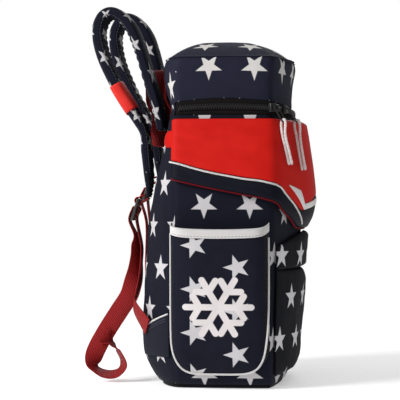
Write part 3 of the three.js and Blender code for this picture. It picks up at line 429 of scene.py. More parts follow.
def star_group():
    """A node group: 1 inside a star of the print, 0 outside, from a chart in millimetres."""
    group = bpy.data.node_groups.new("star_print", "ShaderNodeTree")
    group.interface.new_socket("Chart", in_out="INPUT", socket_type="NodeSocketVector")
    group.interface.new_socket("Star", in_out="OUTPUT", socket_type="NodeSocketFloat")
    inlet = add(group, "NodeGroupInput")
    outlet = add(group, "NodeGroupOutput")
    split = add(group, "ShaderNodeSeparateXYZ", {0: inlet.outputs[0]})
    notch_x = STAR_REACH * STAR_WAIST * cos(pi / 5)
    notch_y = STAR_REACH * STAR_WAIST * sin(pi / 5)
    size = ((STAR_REACH - notch_x) ** 2 + notch_y ** 2) ** 0.5
    edge_x, edge_y = notch_y / size, (STAR_REACH - notch_x) / size
    stars = []
    for shift_x, shift_y in ((0.0, 0.0), (STAR_APART / 2, STAR_ROWS)):
        x = repeated(group, split.outputs[0], STAR_APART, shift_x)
        y = repeated(group, split.outputs[1], 2 * STAR_ROWS, shift_y)
        out, off = folded(group, x, y, 2 * pi / 5)
        over = calc(group, "ADD", calc(group, "MULTIPLY", out, edge_x), calc(group, "MULTIPLY", off, edge_y))
        stars.append(inked(group, calc(group, "SUBTRACT", STAR_REACH * edge_x, over)))
    group.links.new(calc(group, "MAXIMUM", *stars), outlet.inputs[0])
    return group


STARS = star_group()
WEAVE_PITCH = 1.5


def weave_height(tree, across, along, pitch):
    """A plain weave of a real pitch, drawn about three times as coarse as real so that it shows."""
    return calc(tree, "MULTIPLY", wave(tree, across, pitch), wave(tree, along, pitch))


def printed_cloth(name, dark, light, star, motif=None):
    """Navy polyester canvas with printed stars: dull, fine-woven, with a soft uneven tone and a thin,
    slightly smoother ink. motif gives the centre of a larger printed ornament on the chart."""
    made, tree, shader = material(name, 0.8, Sheen_Weight=0.02, Sheen_Roughness=0.5, Specular_IOR_Level=0.08)
    across, along, chart = chart_axes(tree)
    tone = add(tree, "ShaderNodeTexNoise", {0: chart}, in_2=0.035, in_3=4.0)
    cloth = add(tree, "ShaderNodeMix", {0: tone.outputs[0]}, data_type="RGBA")
    cloth.inputs[6].default_value = colour(dark)
    cloth.inputs[7].default_value = colour(light)
    weave = weave_height(tree, across, along, WEAVE_PITCH)
    print_node = add(tree, "ShaderNodeGroup", node_tree=STARS)
    tree.links.new(chart, print_node.inputs[0])
    worn = add(tree, "ShaderNodeTexNoise", {0: chart}, in_2=0.5, in_3=3.0)
    ink = calc(tree, "ADD", 0.9, calc(tree, "MULTIPLY", worn.outputs[0], 0.16))
    mask = calc(tree, "MINIMUM", calc(tree, "MULTIPLY", print_node.outputs[0], ink), 1.0)
    blend = add(tree, "ShaderNodeMix", {0: mask, 6: cloth.outputs[2]}, data_type="RGBA")
    blend.inputs[7].default_value = colour(star)
    if motif is not None:
        flake = ornament(tree, across, along, motif)
        blend = add(tree, "ShaderNodeMix", {0: flake, 6: blend.outputs[2]}, data_type="RGBA")
        blend.inputs[7].default_value = colour("e3dcdc")
    thread = add(tree, "ShaderNodeMix", {0: calc(tree, "ADD", 0.1, calc(tree, "MULTIPLY", weave, 0.1)),
                                         6: blend.outputs[2]}, data_type="RGBA")
    thread.inputs[7].default_value = (0.0, 0.0, 0.0, 1.0)
    tree.links.new(thread.outputs[2], shader.inputs["Base Color"])
    bump(tree, shader, weave, 0.22, 0.6)
    return made


ARM_REACH = 42.0
ARM_HALF = 4.6
BRANCH_START = 24.0
BRANCH_REACH = 17.0


def ornament(tree, across, along, centre):
    """A plain six-armed flake of rounded bars: 1 on its ink and 0 off it."""
    x = calc(tree, "SUBTRACT", across, centre[0])
    y = calc(tree, "SUBTRACT", along, centre[1])
    sixth = pi / 3
    out, off = folded(tree, x, y, sixth)

    def from_bar(out, off, reach):
        """How far a place is from a bar's middle line, which runs out from 0 to its reach."""
        from_middle = calc(tree, "ABSOLUTE", calc(tree, "SUBTRACT", out, reach / 2))
        past = calc(tree, "MAXIMUM", calc(tree, "SUBTRACT", from_middle, reach / 2), 0.0)
        return distance(tree, past, off)

    joint = calc(tree, "SUBTRACT", out, BRANCH_START)
    branch_out = calc(tree, "ADD", calc(tree, "MULTIPLY", joint, cos(sixth)),
                      calc(tree, "MULTIPLY", off, sin(sixth)))
    branch_off = calc(tree, "SUBTRACT", calc(tree, "MULTIPLY", off, cos(sixth)),
                      calc(tree, "MULTIPLY", joint, sin(sixth)))
    near = calc(tree, "MINIMUM", from_bar(out, off, ARM_REACH),
                from_bar(branch_out, branch_off, BRANCH_REACH))
    return inked(tree, calc(tree, "SUBTRACT", ARM_HALF, near))


body_cloth = printed_cloth("printed_canvas_body", "12131e", "191b2a", "cfcccf")
side_arc = arc_of(body_skin, 0.5 * BODY_TOP)
SIDE_STAR = (-18.6, 237.6)
CORNER_STAR = (25.5, 264.6)
FRONT_STAR = (12.0, 172.0)
FRONT_SIDE = side_arc(FRONT_SEAM) + FRONT_STAR[0]


def body_place(u, v):
    girth = 2 * u - 1
    z = CLOTH_FOOT + (BODY_TOP - CLOTH_FOOT) * v
    places = body_skin(girth, z)
    normal = outward(body_skin, girth, z, 0, BODY_TOP)
    waves = rumple(places, 60.0, 2.0) + rumple(places, 22.0, 0.7, 5.0)
    waves = waves * ease(v, 0.0, 0.08) * (1 - ease(v, 0.93, 1.0))
    off = waves - seam_dip(girth, (REAR_SEAM, FRONT_SEAM)) - 0.8
    return places + normal * off[:, None]


def meeting(total):
    """The small stretch of a chart that lets the print meet its mirror image at the bag's middle."""
    half = STAR_APART / 2
    return round(total / half) * half / total


def body_chart(u, v, mu, mv):
    girth = 2 * u - 1
    middle = np.abs(2 * mu - 1)
    z = CLOTH_FOOT + (BODY_TOP - CLOTH_FOOT) * v
    x = body_skin(girth, z)[:, 0]
    far = side_arc(girth)
    corner = middle < REAR_SEAM
    front = middle > FRONT_SEAM + 0.002
    rear = side_arc(REAR_SEAM) - CORNER_STAR[0]
    behind = (rear - far) * meeting(rear - side_arc(0.0))
    ahead = (far - FRONT_SIDE) * meeting(side_arc(1.0) - FRONT_SIDE)
    across = np.where(corner, behind, np.where(front, ahead, -(x - SIDE_STAR[0])))
    along = np.where(corner, z - CORNER_STAR[1], np.where(front, z - FRONT_STAR[1], -(z - SIDE_STAR[1])))
    return across, along


body = panel("body_cloth", 200, 100, body_place, body_cloth, body_chart, wall=BODY_WALL - 1.0, merge=True)
fit(body, "bag_body")


# ---- Base ----
# The panel that the bag stands on: black polyester with a rubbery coating, so it looks smooth and dull.
BASE_THICK = 4.0
BASE_INSET = 2.0
coated, tree, shader = material("coated_polyester", 0.65, Specular_IOR_Level=0.15)
where = add(tree, "ShaderNodeTexCoord")
grain = add(tree, "ShaderNodeTexVoronoi", {0: where.outputs["Object"]}, in_2=450.0)
tinted(tree, shader, grain.outputs[0], "0b0b10", "07070a")
bump(tree, shader, grain.outputs[0], 0.15)


def base_place(u, v):
    ring = on_body(2 * u - 1, 0.0, -BASE_INSET)
    reach = np.clip(v / 0.8, 0, 1)
    middle = np.array([8.0, 0.0, 0.0])
    places = middle + (ring - middle) * reach[:, None]
    places[:, 2] = np.where(v > 0.8, (v - 0.8) / 0.2 * BASE_THICK, 0.0)
    return places


base = panel("base_panel", 96, 20, base_place, coated, merge=True, flip=True)
fit(base, "bag_base")


# ---- Lid ----
# A padded drum lid with a domed top of the same printed canvas, sewn on round the rim with a turned-in
# seam and joined down the rear corners.
LID_GAP = 22.0
LID_DRUM = 54.0
LID_DOME = 28.0
LID_BACK = 79.5
LID_FRONT = 95.5
LID_HALF_WIDTH = 138.0
LID_DIP = 8.0
LID_FRONT_DIP = 6.0
DOME_FULLNESS = 3.0
LID_BOTTOM = BODY_TOP + LID_GAP
LID_TOP = LID_BOTTOM + LID_DRUM
LID_STAR = (-13.1, 417.0)
LID_CORNER_STAR = (17.5, 396.0)
LID_FRONT_SHARE = 0.85
DRUM_SHARE = 0.6
# up, back, front, wide
LID_LEVELS = [
    (0.0, 0.868, 0.94, 0.965), (0.3, 0.945, 0.955, 0.985), (0.62, 0.994, 0.98, 1.0),
    (0.86, 1.0, 1.0, 1.0), (1.0, 0.972, 0.992, 0.988),
]


def lid_skin(girth, z):
    return section(LID_LEVELS, (z - LID_BOTTOM) / LID_DRUM, girth, z, LID_BACK, LID_FRONT, LID_HALF_WIDTH)


def lid_edge(girth):
    """The height of the lid's lower edge, which dips in front and where it bends on its hinge."""
    way = ease(np.abs(girth), REAR_SEAM - 0.1, REAR_SEAM + 0.15)
    fore = ease(np.abs(girth), FRONT_SEAM - 0.145, FRONT_SEAM + 0.105)
    return LID_BOTTOM - LID_DIP * (1 - way) - LID_FRONT_DIP * fore


def lid_place(u, v):
    girth = 2 * u - 1
    z = LID_BOTTOM + LID_DRUM * np.clip(v / DRUM_SHARE, 0, 1)
    places = lid_skin(girth, z)
    normal = outward(lid_skin, girth, z, LID_BOTTOM, LID_TOP)
    places[:, 2] = lid_edge(girth) + (LID_TOP - lid_edge(girth)) * (z - LID_BOTTOM) / LID_DRUM
    share = 1 - np.clip((v - DRUM_SHARE) / (1 - DRUM_SHARE), 0, 1)
    share = np.sin(share * pi / 2) ** 0.9
    middle = (LID_FRONT - LID_BACK) / 2
    domed = v > DRUM_SHARE
    rise = LID_DOME * (1 - share ** DOME_FULLNESS)
    dome = np.stack([middle + (places[:, 0] - middle) * share, places[:, 1] * share, LID_TOP + rise], axis=1)
    dip = seam_dip(girth, (REAR_SEAM, FRONT_SEAM)) + 1.4 * np.exp(-((v - DRUM_SHARE) / 0.018) ** 2)
    off = rumple(places, 55.0, 1.8, 9.0) + rumple(places, 20.0, 0.6, 3.0) - dip - 0.6
    fade = ease(v, 0, 0.1)
    out = np.where(domed[:, None], dome, places + normal * (off * fade)[:, None])
    slack = (rumple(dome, 60.0, 2.4, 2.0) - 1.5) * ease(v, DRUM_SHARE, DRUM_SHARE + 0.1)
    out[:, 2] += np.where(domed, slack, 0.0)
    return out


lid_arc = arc_of(lid_skin, LID_BOTTOM + 0.6 * LID_DRUM)


def lid_chart(u, v, mu, mv):
    girth = 2 * u - 1
    z = LID_BOTTOM + LID_DRUM * np.clip(v / DRUM_SHARE, 0, 1)
    places = lid_place(u, v)
    middle = np.abs(2 * mu - 1)
    corner = middle < REAR_SEAM
    front = middle > FRONT_SEAM + 0.002
    top = mv > DRUM_SHARE
    far = lid_arc(girth)
    behind = lid_arc(REAR_SEAM) - far - LID_CORNER_STAR[0]
    behind = behind * meeting(lid_arc(REAR_SEAM) - lid_arc(0.0) - LID_CORNER_STAR[0])
    ahead = far - lid_arc(FRONT_SEAM)
    whole = lid_arc(1.0) - lid_arc(FRONT_SEAM)
    seam_reach = lid_skin(FRONT_SEAM, LID_TOP)[0] - LID_STAR[0]
    total = seam_reach + LID_FRONT_SHARE * whole
    ahead = seam_reach + ahead * (total * meeting(total) - seam_reach) / whole
    across = np.where(corner, behind, np.where(front, -ahead, -(places[:, 0] - LID_STAR[0])))
    along = np.where(corner, z - LID_CORNER_STAR[1], -(z - LID_STAR[1]))
    return np.where(top, places[:, 0] + 20.0, across), np.where(top, -places[:, 1] - 100.0, along)


lid_cloth = printed_cloth("printed_canvas_lid", "1f202f", "27283a", "dddad7")
lid = panel("lid_cloth", 200, 80, lid_place, lid_cloth, lid_chart, wall=2.2, merge=True)
fit(lid, "bag_lid")


# ---- Zip and hinge ----
# A moulded-tooth zip on a woven tape, nearly black, closed round the front and both sides; behind it a
# strip of the printed canvas is the hinge.
CLEAR = 0.3
CHAIN_THICK = 2.4
TOOTH_PITCH = 3.2
TOOTH_HEIGHT = 5.2
TOOTH_WIDTH = 2.1
TOOTH_BEVEL = 0.5
TOOTH_STAGGER = 0.065
ZIP_END = REAR_SEAM + 0.005
tape, tree, shader = material("woven_zip_tape", 0.9, Specular_IOR_Level=0.1)
across, along, chart = chart_axes(tree)
twill = wave(tree, calc(tree, "ADD", across, along), 1.6)
tinted(tree, shader, halfway(tree, twill), "0f0d0d", "1c1918")
bump(tree, shader, twill, 0.2)


def moulded(name, rough, dark, light):
    """Moulded plastic with a faint gloss and a scuffed skin."""
    made, tree, shader = material(name, rough, Specular_IOR_Level=0.5, IOR=1.48)
    where = add(tree, "ShaderNodeTexCoord")
    scuff = add(tree, "ShaderNodeTexNoise", {0: where.outputs["Object"]}, in_2=400.0, in_3=3.0)
    tinted(tree, shader, scuff.outputs[0], dark, light)
    bump(tree, shader, scuff.outputs[0], 0.05)
    return made


# Acetal, as moulded zip teeth and sliders are: hard, smooth, with a soft gloss.
acetal = moulded("moulded_acetal", 0.36, "0e0d0e", "232121")


def in_gap(girth, share, off):
    """Between body and lid: share goes from the body's rim to the lid's edge."""
    girth, share, off = np.broadcast_arrays(*(np.asarray(a, float) for a in (girth, share, off)))
    low = body_skin(girth, BODY_TOP + 0 * girth)
    low[..., 2] = BODY_TOP + CLEAR
    high = lid_skin(girth, LID_BOTTOM + 0 * girth)
    high[..., 2] = lid_edge(girth) - CLEAR
    normal = outward(body_skin, girth, BODY_TOP + 0 * girth, 0, BODY_TOP)
    normal[..., 2] = 0
    return low + (high - low) * share[..., None] + unit(normal) * off[..., None]


def round_front(u, start):
    """From one side's start round the front to the other's, as a girth that jumps sign at the front."""
    way = start + (2 - 2 * start) * u
    return np.where(way <= 1, way, way - 2)


def front_far(u, start):
    """Millimetres along the body's rim from a side's start round the front."""
    arc = arc_of(body_skin, BODY_TOP)
    way = start + (2 - 2 * start) * u
    whole = arc(1.0)
    return np.where(way <= 1, arc(way), 2 * whole - arc(2 - way))


tape_piece = panel("zip_tape_cloth", 150, 6, lambda u, v: in_gap(round_front(u, ZIP_END), v, -0.2), tape,
                   lambda u, v, mu, mv: (front_far(u, ZIP_END), 20 * v), wall=1.0)
fit(tape_piece, "zip_tape")
hinge_end = REAR_SEAM - 0.006


def hinge_place(u, v):
    girth = hinge_end * (2 * u - 1)
    places = in_gap(girth, v, 0.0)
    fold = -1.2 * np.sin(pi * v)
    return places + outward(body_skin, girth, BODY_TOP + 0 * girth, 0, BODY_TOP) * fold[:, None]


hinge = panel("hinge_cloth", 60, 8, hinge_place, body_cloth,
              lambda u, v, mu, mv: (side_arc(hinge_end * (2 * u - 1)) * np.sign(u - 0.5) + 16, 20 * v + 30),
              wall=1.0)
fit(hinge, "lid_hinge")


def copies(name, pattern, places, finish):
    """One mesh of copies of a pattern piece, which is then removed."""
    mesh = bpy.data.meshes.new(name)
    whole = bmesh.new()
    for place in places:
        start = len(whole.verts)
        whole.from_mesh(pattern.data)
        whole.verts.ensure_lookup_table()
        bmesh.ops.transform(whole, matrix=place, verts=whole.verts[start:])
    whole.to_mesh(mesh)
    whole.free()
    piece = bpy.data.objects.new(name, mesh)
    bpy.context.collection.objects.link(piece)
    bpy.data.objects.remove(pattern)
    mesh.materials.clear()
    mesh.materials.append(finish)
    return piece


def basis(where, along, up, out):
    """A place in metres with three axes."""
    turn = Matrix((along, up, out)).transposed().to_4x4()
    turn.translation = Vector(where) * MM
    return turn


bpy.ops.object.select_all(action="DESELECT")
bpy.ops.mesh.primitive_cube_add(size=1.0)
tooth = bpy.context.object
tooth.scale = (TOOTH_WIDTH * MM, TOOTH_HEIGHT * MM, CHAIN_THICK * MM)
bpy.ops.object.transform_apply(location=False, rotation=False, scale=True)
bpy.ops.object.mode_set(mode="EDIT")
bpy.ops.mesh.select_all(action="SELECT")
bpy.ops.mesh.bevel(offset=TOOTH_BEVEL * MM, segments=1, affect="EDGES")
bpy.ops.object.mode_set(mode="OBJECT")
rim_length = float(front_far(1.0, ZIP_END) - front_far(0.0, ZIP_END))
teeth = []
count = int(rim_length / (TOOTH_PITCH / 2))
for k in range(count):
    u = np.array((k + 0.5) / count)
    girth = round_front(u, ZIP_END + 0.012)
    spot = in_gap(girth, 0.5 + (TOOTH_STAGGER if k % 2 else -TOOTH_STAGGER), CLEAR + CHAIN_THICK / 2)
    ahead = (in_gap(round_front(u + 0.002, ZIP_END + 0.012), 0.5, 0.0)
             - in_gap(round_front(u - 0.002, ZIP_END + 0.012), 0.5, 0.0))
    along = Vector((*ahead[:2], 0.0)).normalized()
    teeth.append(basis(spot, along, Vector((0, 0, 1)), along.cross(Vector((0, 0, 1)))))
chain = copies("zip_teeth", tooth, teeth, acetal)
fit(chain, "zip_chain")


# ---- Sliders and pulls ----
# Two sliders moulded in black acetal, each with a wire pull. Their shapes come from the CAD model, and
# their edges are rounded here as a mould leaves them.
def softened(name, node, width, finish):
    """A copy of a CAD node with its triangles joined and its sharp edges rounded."""
    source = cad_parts[node]
    piece = bpy.data.objects.new(name, source.data.copy())
    bpy.context.collection.objects.link(piece)
    bpy.ops.object.select_all(action="DESELECT")
    piece.select_set(True)
    bpy.context.view_layer.objects.active = piece
    bpy.ops.object.mode_set(mode="EDIT")
    bpy.ops.mesh.select_all(action="SELECT")
    bpy.ops.mesh.remove_doubles(threshold=0.000005)
    bpy.ops.mesh.dissolve_limited(angle_limit=radians(1.0))
    bpy.ops.object.mode_set(mode="OBJECT")
    rounded = piece.modifiers.new("rounded", "BEVEL")
    rounded.width = width * MM
    rounded.segments = 2
    rounded.limit_method = "ANGLE"
    rounded.angle_limit = radians(40.0)
    bpy.ops.object.modifier_apply(modifier=rounded.name)
    bpy.ops.object.shade_smooth_by_angle(angle=radians(35.0))
    piece.data.materials.clear()
    piece.data.materials.append(finish)
    fit(piece, node)
    return piece


for place in ("rear", "front"):
    softened(f"slider_{place}", f"zip_slider_{place}", 0.5, acetal)
    softened(f"pull_{place}", f"zip_pull_{place}", 0.35, acetal)


# ---- Wrap ----
# A moulded wrap of thick foam laminated with smooth polyester, red above and navy below, round the
# sides and front. White piping divides the two, and a white zigzag is bonded on the front.
WRAP_TOP = 348.5
WRAP_WALL = 6.0
WRAP_STAND_SIDE = 9.5
WRAP_STAND_FRONT = 20.0
WRAP_DROP = 142.0
WRAP_START = 0.347
WRAP_ROLL = 3.2
SEAM_ROLL = 1.2
PIPING_THICK = 2.5
# girth, edge, red
WRAP_EDGE = [
    (0.34, 0.54, 0.37), (0.45, 0.615, 0.465), (0.56, 0.68, 0.53), (0.645, 0.735, 0.575),
    (0.68, 0.82, 0.66), (0.75, 0.915, 0.775), (0.81, 0.98, 0.83), (0.9, 1.0, 0.73), (1.0, 1.0, 0.69),
]
# down, stand
WRAP_PROFILE = [(0.0, 0.66), (0.03, 0.78), (0.25, 0.92), (0.5, 1.0), (0.72, 0.97), (0.88, 0.76), (1.0, 0.36)]
# girth, drop
PIPING_LINE = [
    (0.34, 0.385), (0.45, 0.48), (0.56, 0.545), (0.645, 0.59), (0.68, 0.685), (0.75, 0.81), (0.83, 0.955),
]
# girth, low, high
ZIGZAG = [
    (0.7, 262.2, 263.0), (0.775, 241.5, 255.8), (0.81, 231.0, 238.5), (0.9, 235.5, 243.0),
    (1.0, 238.5, 247.0),
]


def laminate(name, dark, light, rough):
    """Foam laminated with smooth polyester knit: an even satin skin with a very fine grain."""
    made, tree, shader = material(name, rough, Specular_IOR_Level=0.07)
    across, along, chart = chart_axes(tree)
    grain = add(tree, "ShaderNodeTexNoise", {0: chart}, in_2=0.7, in_3=2.0)
    tone = add(tree, "ShaderNodeTexNoise", {0: chart}, in_2=0.03, in_3=3.0)
    mixed = calc(tree, "ADD", calc(tree, "MULTIPLY", grain.outputs[0], 0.35),
                 calc(tree, "MULTIPLY", tone.outputs[0], 0.65))
    tinted(tree, shader, mixed, dark, light, 0.35, 0.65)
    bump(tree, shader, grain.outputs[0], 0.12, 0.6)
    return made


red_foam = laminate("laminated_foam_red", "bb1711", "c91f18", 0.55)
navy_foam = laminate("laminated_foam_navy", "0f1019", "151721", 0.55)
white_foam = laminate("laminated_foam_white", "dddad8", "e8e5e3", 0.5)


def wrap_stand(girth, z):
    """How far the wrap's outer face stands off the body."""
    forward = ease(np.abs(girth), FRONT_SEAM - 0.05, 0.93)
    most = WRAP_STAND_SIDE + (WRAP_STAND_FRONT - WRAP_STAND_SIDE) * forward
    return most * np.maximum(0.85 * (1 - forward), smooth(WRAP_PROFILE, 1, (WRAP_TOP - z) / WRAP_DROP))


def wrap_line(girth, column):
    return WRAP_TOP - WRAP_DROP * smooth(WRAP_EDGE, column, np.abs(girth))


def wrap_piece(name, top_of, bottom_of, finish, roll_top, roll_low):
    """A part of the wrap between two lines, its edges rolled in to the body."""
    def place(u, v):
        girth = round_front(u, WRAP_START)
        end = np.clip((np.abs(girth) - WRAP_START) / 0.014, 0, 1)
        corner = 5.0 * (1 - np.sqrt(np.clip(1 - (1 - end) ** 2, 0, 1)))
        top = top_of(girth) - (corner if roll_top > 2 else 0)
        low = bottom_of(girth) + (corner if roll_low > 2 else 0)
        over = np.clip((v - 0.03) / 0.09, 0, 1) * pi / 2
        under = np.clip((0.97 - v) / 0.09, 0, 1) * pi / 2
        share = np.clip((v - 0.12) / 0.76, 0, 1)
        z = low + roll_low * (1 - np.cos(over)) + roll_top * np.cos(under)
        z = z + (top - low - roll_low - roll_top) * share
        draw = roll_low * (1 - np.sin(over)) + roll_top * (1 - np.sin(under))
        back = np.where(v < 0.02, WRAP_WALL - roll_low, 0) + np.where(v > 0.98, WRAP_WALL - roll_top, 0)
        back = back + (WRAP_WALL - 1.5) * (1 - np.sqrt(np.clip(1 - (1 - end) ** 2, 0, 1)))
        z = np.minimum(z, top)
        return on_body(girth, z, np.maximum(0.9, wrap_stand(girth, z) - draw - back))

    return panel(name, 190, 44, place, finish,
                 lambda u, v, mu, mv: (front_far(u, WRAP_START), 150 * v), wall=1.0)


shell = wrap_piece("wrap_foam_red", lambda g: WRAP_TOP + 0 * g, lambda g: wrap_line(g, 2), red_foam,
                   WRAP_ROLL, SEAM_ROLL)
fit(shell, "wrap_shell")
band = wrap_piece("wrap_foam_navy", lambda g: wrap_line(g, 2) - CLEAR, lambda g: wrap_line(g, 1), navy_foam,
                  SEAM_ROLL, WRAP_ROLL)
fit(band, "wrap_band")


def zigzag_place(u, v):
    way = 0.7 + 0.6 * u
    girth = np.where(way <= 1, way, way - 2)
    keys = [row[0] for row in ZIGZAG]
    low = np.interp(np.abs(girth), keys, [row[1] for row in ZIGZAG])
    high = np.interp(np.abs(girth), keys, [row[2] for row in ZIGZAG])
    z = low + (high - low) * v
    return on_body(girth, z, wrap_stand(girth, z) + 0.9)


zigzag = panel("wrap_zigzag", 120, 8, zigzag_place, white_foam, lambda u, v, mu, mv: (200 * u, 9 * v),
               wall=0.7)
fit(zigzag)

# White cord piping: a woven cover on a round cord, with the fine slant of its bias-cut weave.
piping_cloth, tree, shader = material("bias_woven_piping", 0.75, Sheen_Weight=0.2, Specular_IOR_Level=0.3)
across, along, chart = chart_axes(tree)
slant = wave(tree, calc(tree, "ADD", along, across), 1.4)
tinted(tree, shader, halfway(tree, slant), "d3d0cf", "e9e6e5")
bump(tree, shader, slant, 0.2)
lining = laminate("laminated_foam_edge", "5d1016", "701219", 0.7)
SIDES = (("left", 1), ("right", -1))
for name, side in SIDES:
    girths = np.linspace(WRAP_START + 0.004, PIPING_LINE[-1][0], 60)
    z = WRAP_TOP - WRAP_DROP * smooth(PIPING_LINE, 1, girths)
    piping = tube(f"wrap_piping_cord_{name}", on_body(side * girths, z, wrap_stand(girths, z) + 0.5),
                  PIPING_THICK / 2, piping_cloth, steps=0)
    fit(piping, f"wrap_piping_{name}")
girths = np.concatenate([np.linspace(0.35, 1, 90), np.linspace(-0.995, -0.35, 89)])
z = wrap_line(girths, 1) - 0.6
edging = tube("wrap_edge_lining", on_body(girths, z, np.maximum(1.6, wrap_stand(girths, z) - 4.2)), 1.3,
              lining, steps=0)
fit(edging)


# ---- Wrap tabs ----
# A short tongue of the red laminate at each rear end of the wrap, laid on the rear corner and sewn down
# round its edge.
TAB_LENGTH = 0.095


def tab_place(side):
    def place(u, v):
        end = np.sqrt(np.clip(1 - (np.clip((0.35 - u) / 0.35, 0, 1)) ** 2, 0, 1))
        girth = WRAP_START - 0.002 - TAB_LENGTH * (1 - u)
        top = WRAP_TOP - WRAP_DROP * 0.1
        low = WRAP_TOP - WRAP_DROP * 0.26
        middle = (top + low) / 2
        half = (top - low) / 2 * (0.3 + 0.7 * end)
        edge = np.minimum(1, 6 * np.minimum(v, 1 - v))
        return on_body(side * girth, middle + half * (2 * v - 1), 0.9 + 2.2 * np.sqrt(edge))
    return place


def thread_of(name, hex_colour):
    """Polyester sewing thread: two plies with a faint gloss."""
    made, tree, shader = material(name, 0.55, Specular_IOR_Level=0.4)
    where = add(tree, "ShaderNodeTexCoord")
    ply = add(tree, "ShaderNodeTexNoise", {0: where.outputs["Object"]}, in_2=1500.0)
    shade = add(tree, "ShaderNodeMix", {0: calc(tree, "MULTIPLY", ply.outputs[0], 0.3)}, data_type="RGBA")
    shade.inputs[6].default_value = colour(hex_colour)
    shade.inputs[7].default_value = (0.02, 0.02, 0.02, 1.0)
    tree.links.new(shade.outputs[2], shader.inputs["Base Color"])
    return made


dark_thread = thread_of("sewing_thread_navy", "4a4c5c")
red_thread = thread_of("sewing_thread_red", "c9372c")
white_thread = thread_of("sewing_thread_grey", "a9a5a3")
STITCH = 3.0
STITCH_GAP = 1.4


def stitches(name, path, outs, finish, thick=0.45):
    """A row of stitches along path, each a short rounded bar that lies on the cloth."""
    path = np.asarray(path, float)
    far = run(path)
    bpy.ops.object.select_all(action="DESELECT")
    bpy.ops.mesh.primitive_cylinder_add(
        vertices=6, radius=thick * MM, depth=STITCH * MM, rotation=(0, pi / 2, 0))
    bar = bpy.context.object
    bpy.ops.object.transform_apply(location=False, rotation=True, scale=False)
    bpy.ops.object.mode_set(mode="EDIT")
    bpy.ops.mesh.select_all(action="SELECT")
    bpy.ops.mesh.bevel(offset=0.2 * thick * MM, segments=1, affect="EDGES")
    bpy.ops.object.mode_set(mode="OBJECT")
    places = []
    for k in range(int(far[-1] / (STITCH + STITCH_GAP))):
        at = (k + 0.5) * (STITCH + STITCH_GAP)
        spot = [np.interp(at, far, path[:, axis]) for axis in range(3)]
        ahead = [np.interp(at + 1, far, path[:, axis]) for axis in range(3)]
        out = Vector([np.interp(at, far, np.asarray(outs)[:, axis]) for axis in range(3)]).normalized()
        along = (Vector(ahead) - Vector(spot)).normalized()
        side = out.cross(along).normalized()
        places.append(basis(spot, along, side, along.cross(side)))
    piece = copies(name, bar, places, finish)
    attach(piece, "root")
    return piece


def body_out(girth, z):
    girth, z = np.broadcast_arrays(np.asarray(girth, float), np.asarray(z, float))
    return outward(body_skin, girth, z, 0, BODY_TOP)


for name, side in SIDES:
    tab = panel(f"wrap_tab_cloth_{name}", 26, 16, tab_place(side), red_foam,
                lambda u, v, mu, mv: (22 * u, 22 * v), wall=1.2, flip=side < 0)
    fit(tab, f"wrap_tab_{name}")
    turn = np.linspace(0.62 * pi, 1.38 * pi, 40)
    girths = WRAP_START - 0.045 + 0.045 * np.cos(turn)
    z = WRAP_TOP - WRAP_DROP * 0.18 + 8.3 * np.sin(turn)
    stitches(f"tab_stitches_{name}", on_body(side * girths, z, 3.2), body_out(side * girths, z), red_thread)


# ---- Side pockets ----
# Bellows pockets of the printed canvas with black mesh gussets. The sagging mouth is bound with white
# grosgrain, and white piping runs down each side and round the bottom.
POCKET_FLOOR = 20.0
POCKET_HEIGHT = 188.0
POCKET_SAG = 2.5
POCKET_EAR = 6.0
POCKET_CORNER_RISE = 26.0
POCKET_DEPTH = 17.0
POCKET_WALL = 1.8
BINDING_HEIGHT = 11.0
POCKET_REAR = REAR_SEAM - 0.005
POCKET_FRONT = FRONT_SEAM - 0.002
POCKET_STAR = (-29.7, 186.0)
POCKET_STRETCH = 1.054
ORNAMENT = (1.0, 107.0)
pocket_cloth = printed_cloth(
    "printed_canvas_pocket", "141520", "1b1d2b", "cfcccf",
    motif=((ORNAMENT[1] - POCKET_STAR[1]) * POCKET_STRETCH, -(ORNAMENT[0] - POCKET_STAR[0])))
# Black polyester air mesh: small dark holes in a soft knit.
mesh_cloth, tree, shader = material("air_mesh_black", 0.85, Sheen_Weight=0.03, Specular_IOR_Level=0.1)
across, along, chart = chart_axes(tree)
holes = add(tree, "ShaderNodeTexVoronoi", {0: chart}, in_2=0.45)
tinted(tree, shader, holes.outputs[0], "050506", "1b1b20", 0.2, 0.45)
bump(tree, shader, holes.outputs[0], 0.4)
# White grosgrain: fine ribs across the tape.
grosgrain, tree, shader = material("grosgrain_white", 0.7, Sheen_Weight=0.2, Specular_IOR_Level=0.3)
across, along, chart = chart_axes(tree)
ribs = wave(tree, across, 1.5)
tinted(tree, shader, halfway(tree, ribs), "cecbca", "e6e4e3")
bump(tree, shader, ribs, 0.25)


def pocket_mouth(across):
    middle = 1 - (2 * across - 1) ** 2
    return POCKET_FLOOR + POCKET_HEIGHT - POCKET_SAG * middle + POCKET_EAR * np.abs(2 * across - 1) ** 12


def pocket_point(side, across, up, off):
    square = 1 - np.abs(2 * across - 1) ** 8
    bottom = np.minimum(1, np.sqrt(np.maximum(up, 0) / 0.12))
    stand = 0.9 + POCKET_DEPTH * (0.62 + 0.38 * up) * square * bottom
    floor = POCKET_FLOOR + POCKET_CORNER_RISE * np.abs(2 * across - 1) ** 6
    z = floor + (pocket_mouth(across) - floor) * up
    girth = POCKET_REAR + (POCKET_FRONT - POCKET_REAR) * across
    return on_body(side * girth, z, stand + off)


def binding_point(side, across, v):
    low = 1 - BINDING_HEIGHT / POCKET_HEIGHT
    up = low + (1 - low) * np.minimum(1, (1 - np.abs(2 * v - 1)) / 0.9)
    off = np.interp(v, [0, 0.45, 0.55, 1], [POCKET_WALL + 1.4, POCKET_WALL + 1.4, -0.9, -0.9])
    places = pocket_point(side, across, up, off)
    places[:, 2] += 1.0 * np.sin(pi * np.clip((v - 0.42) / 0.16, 0, 1))
    return places


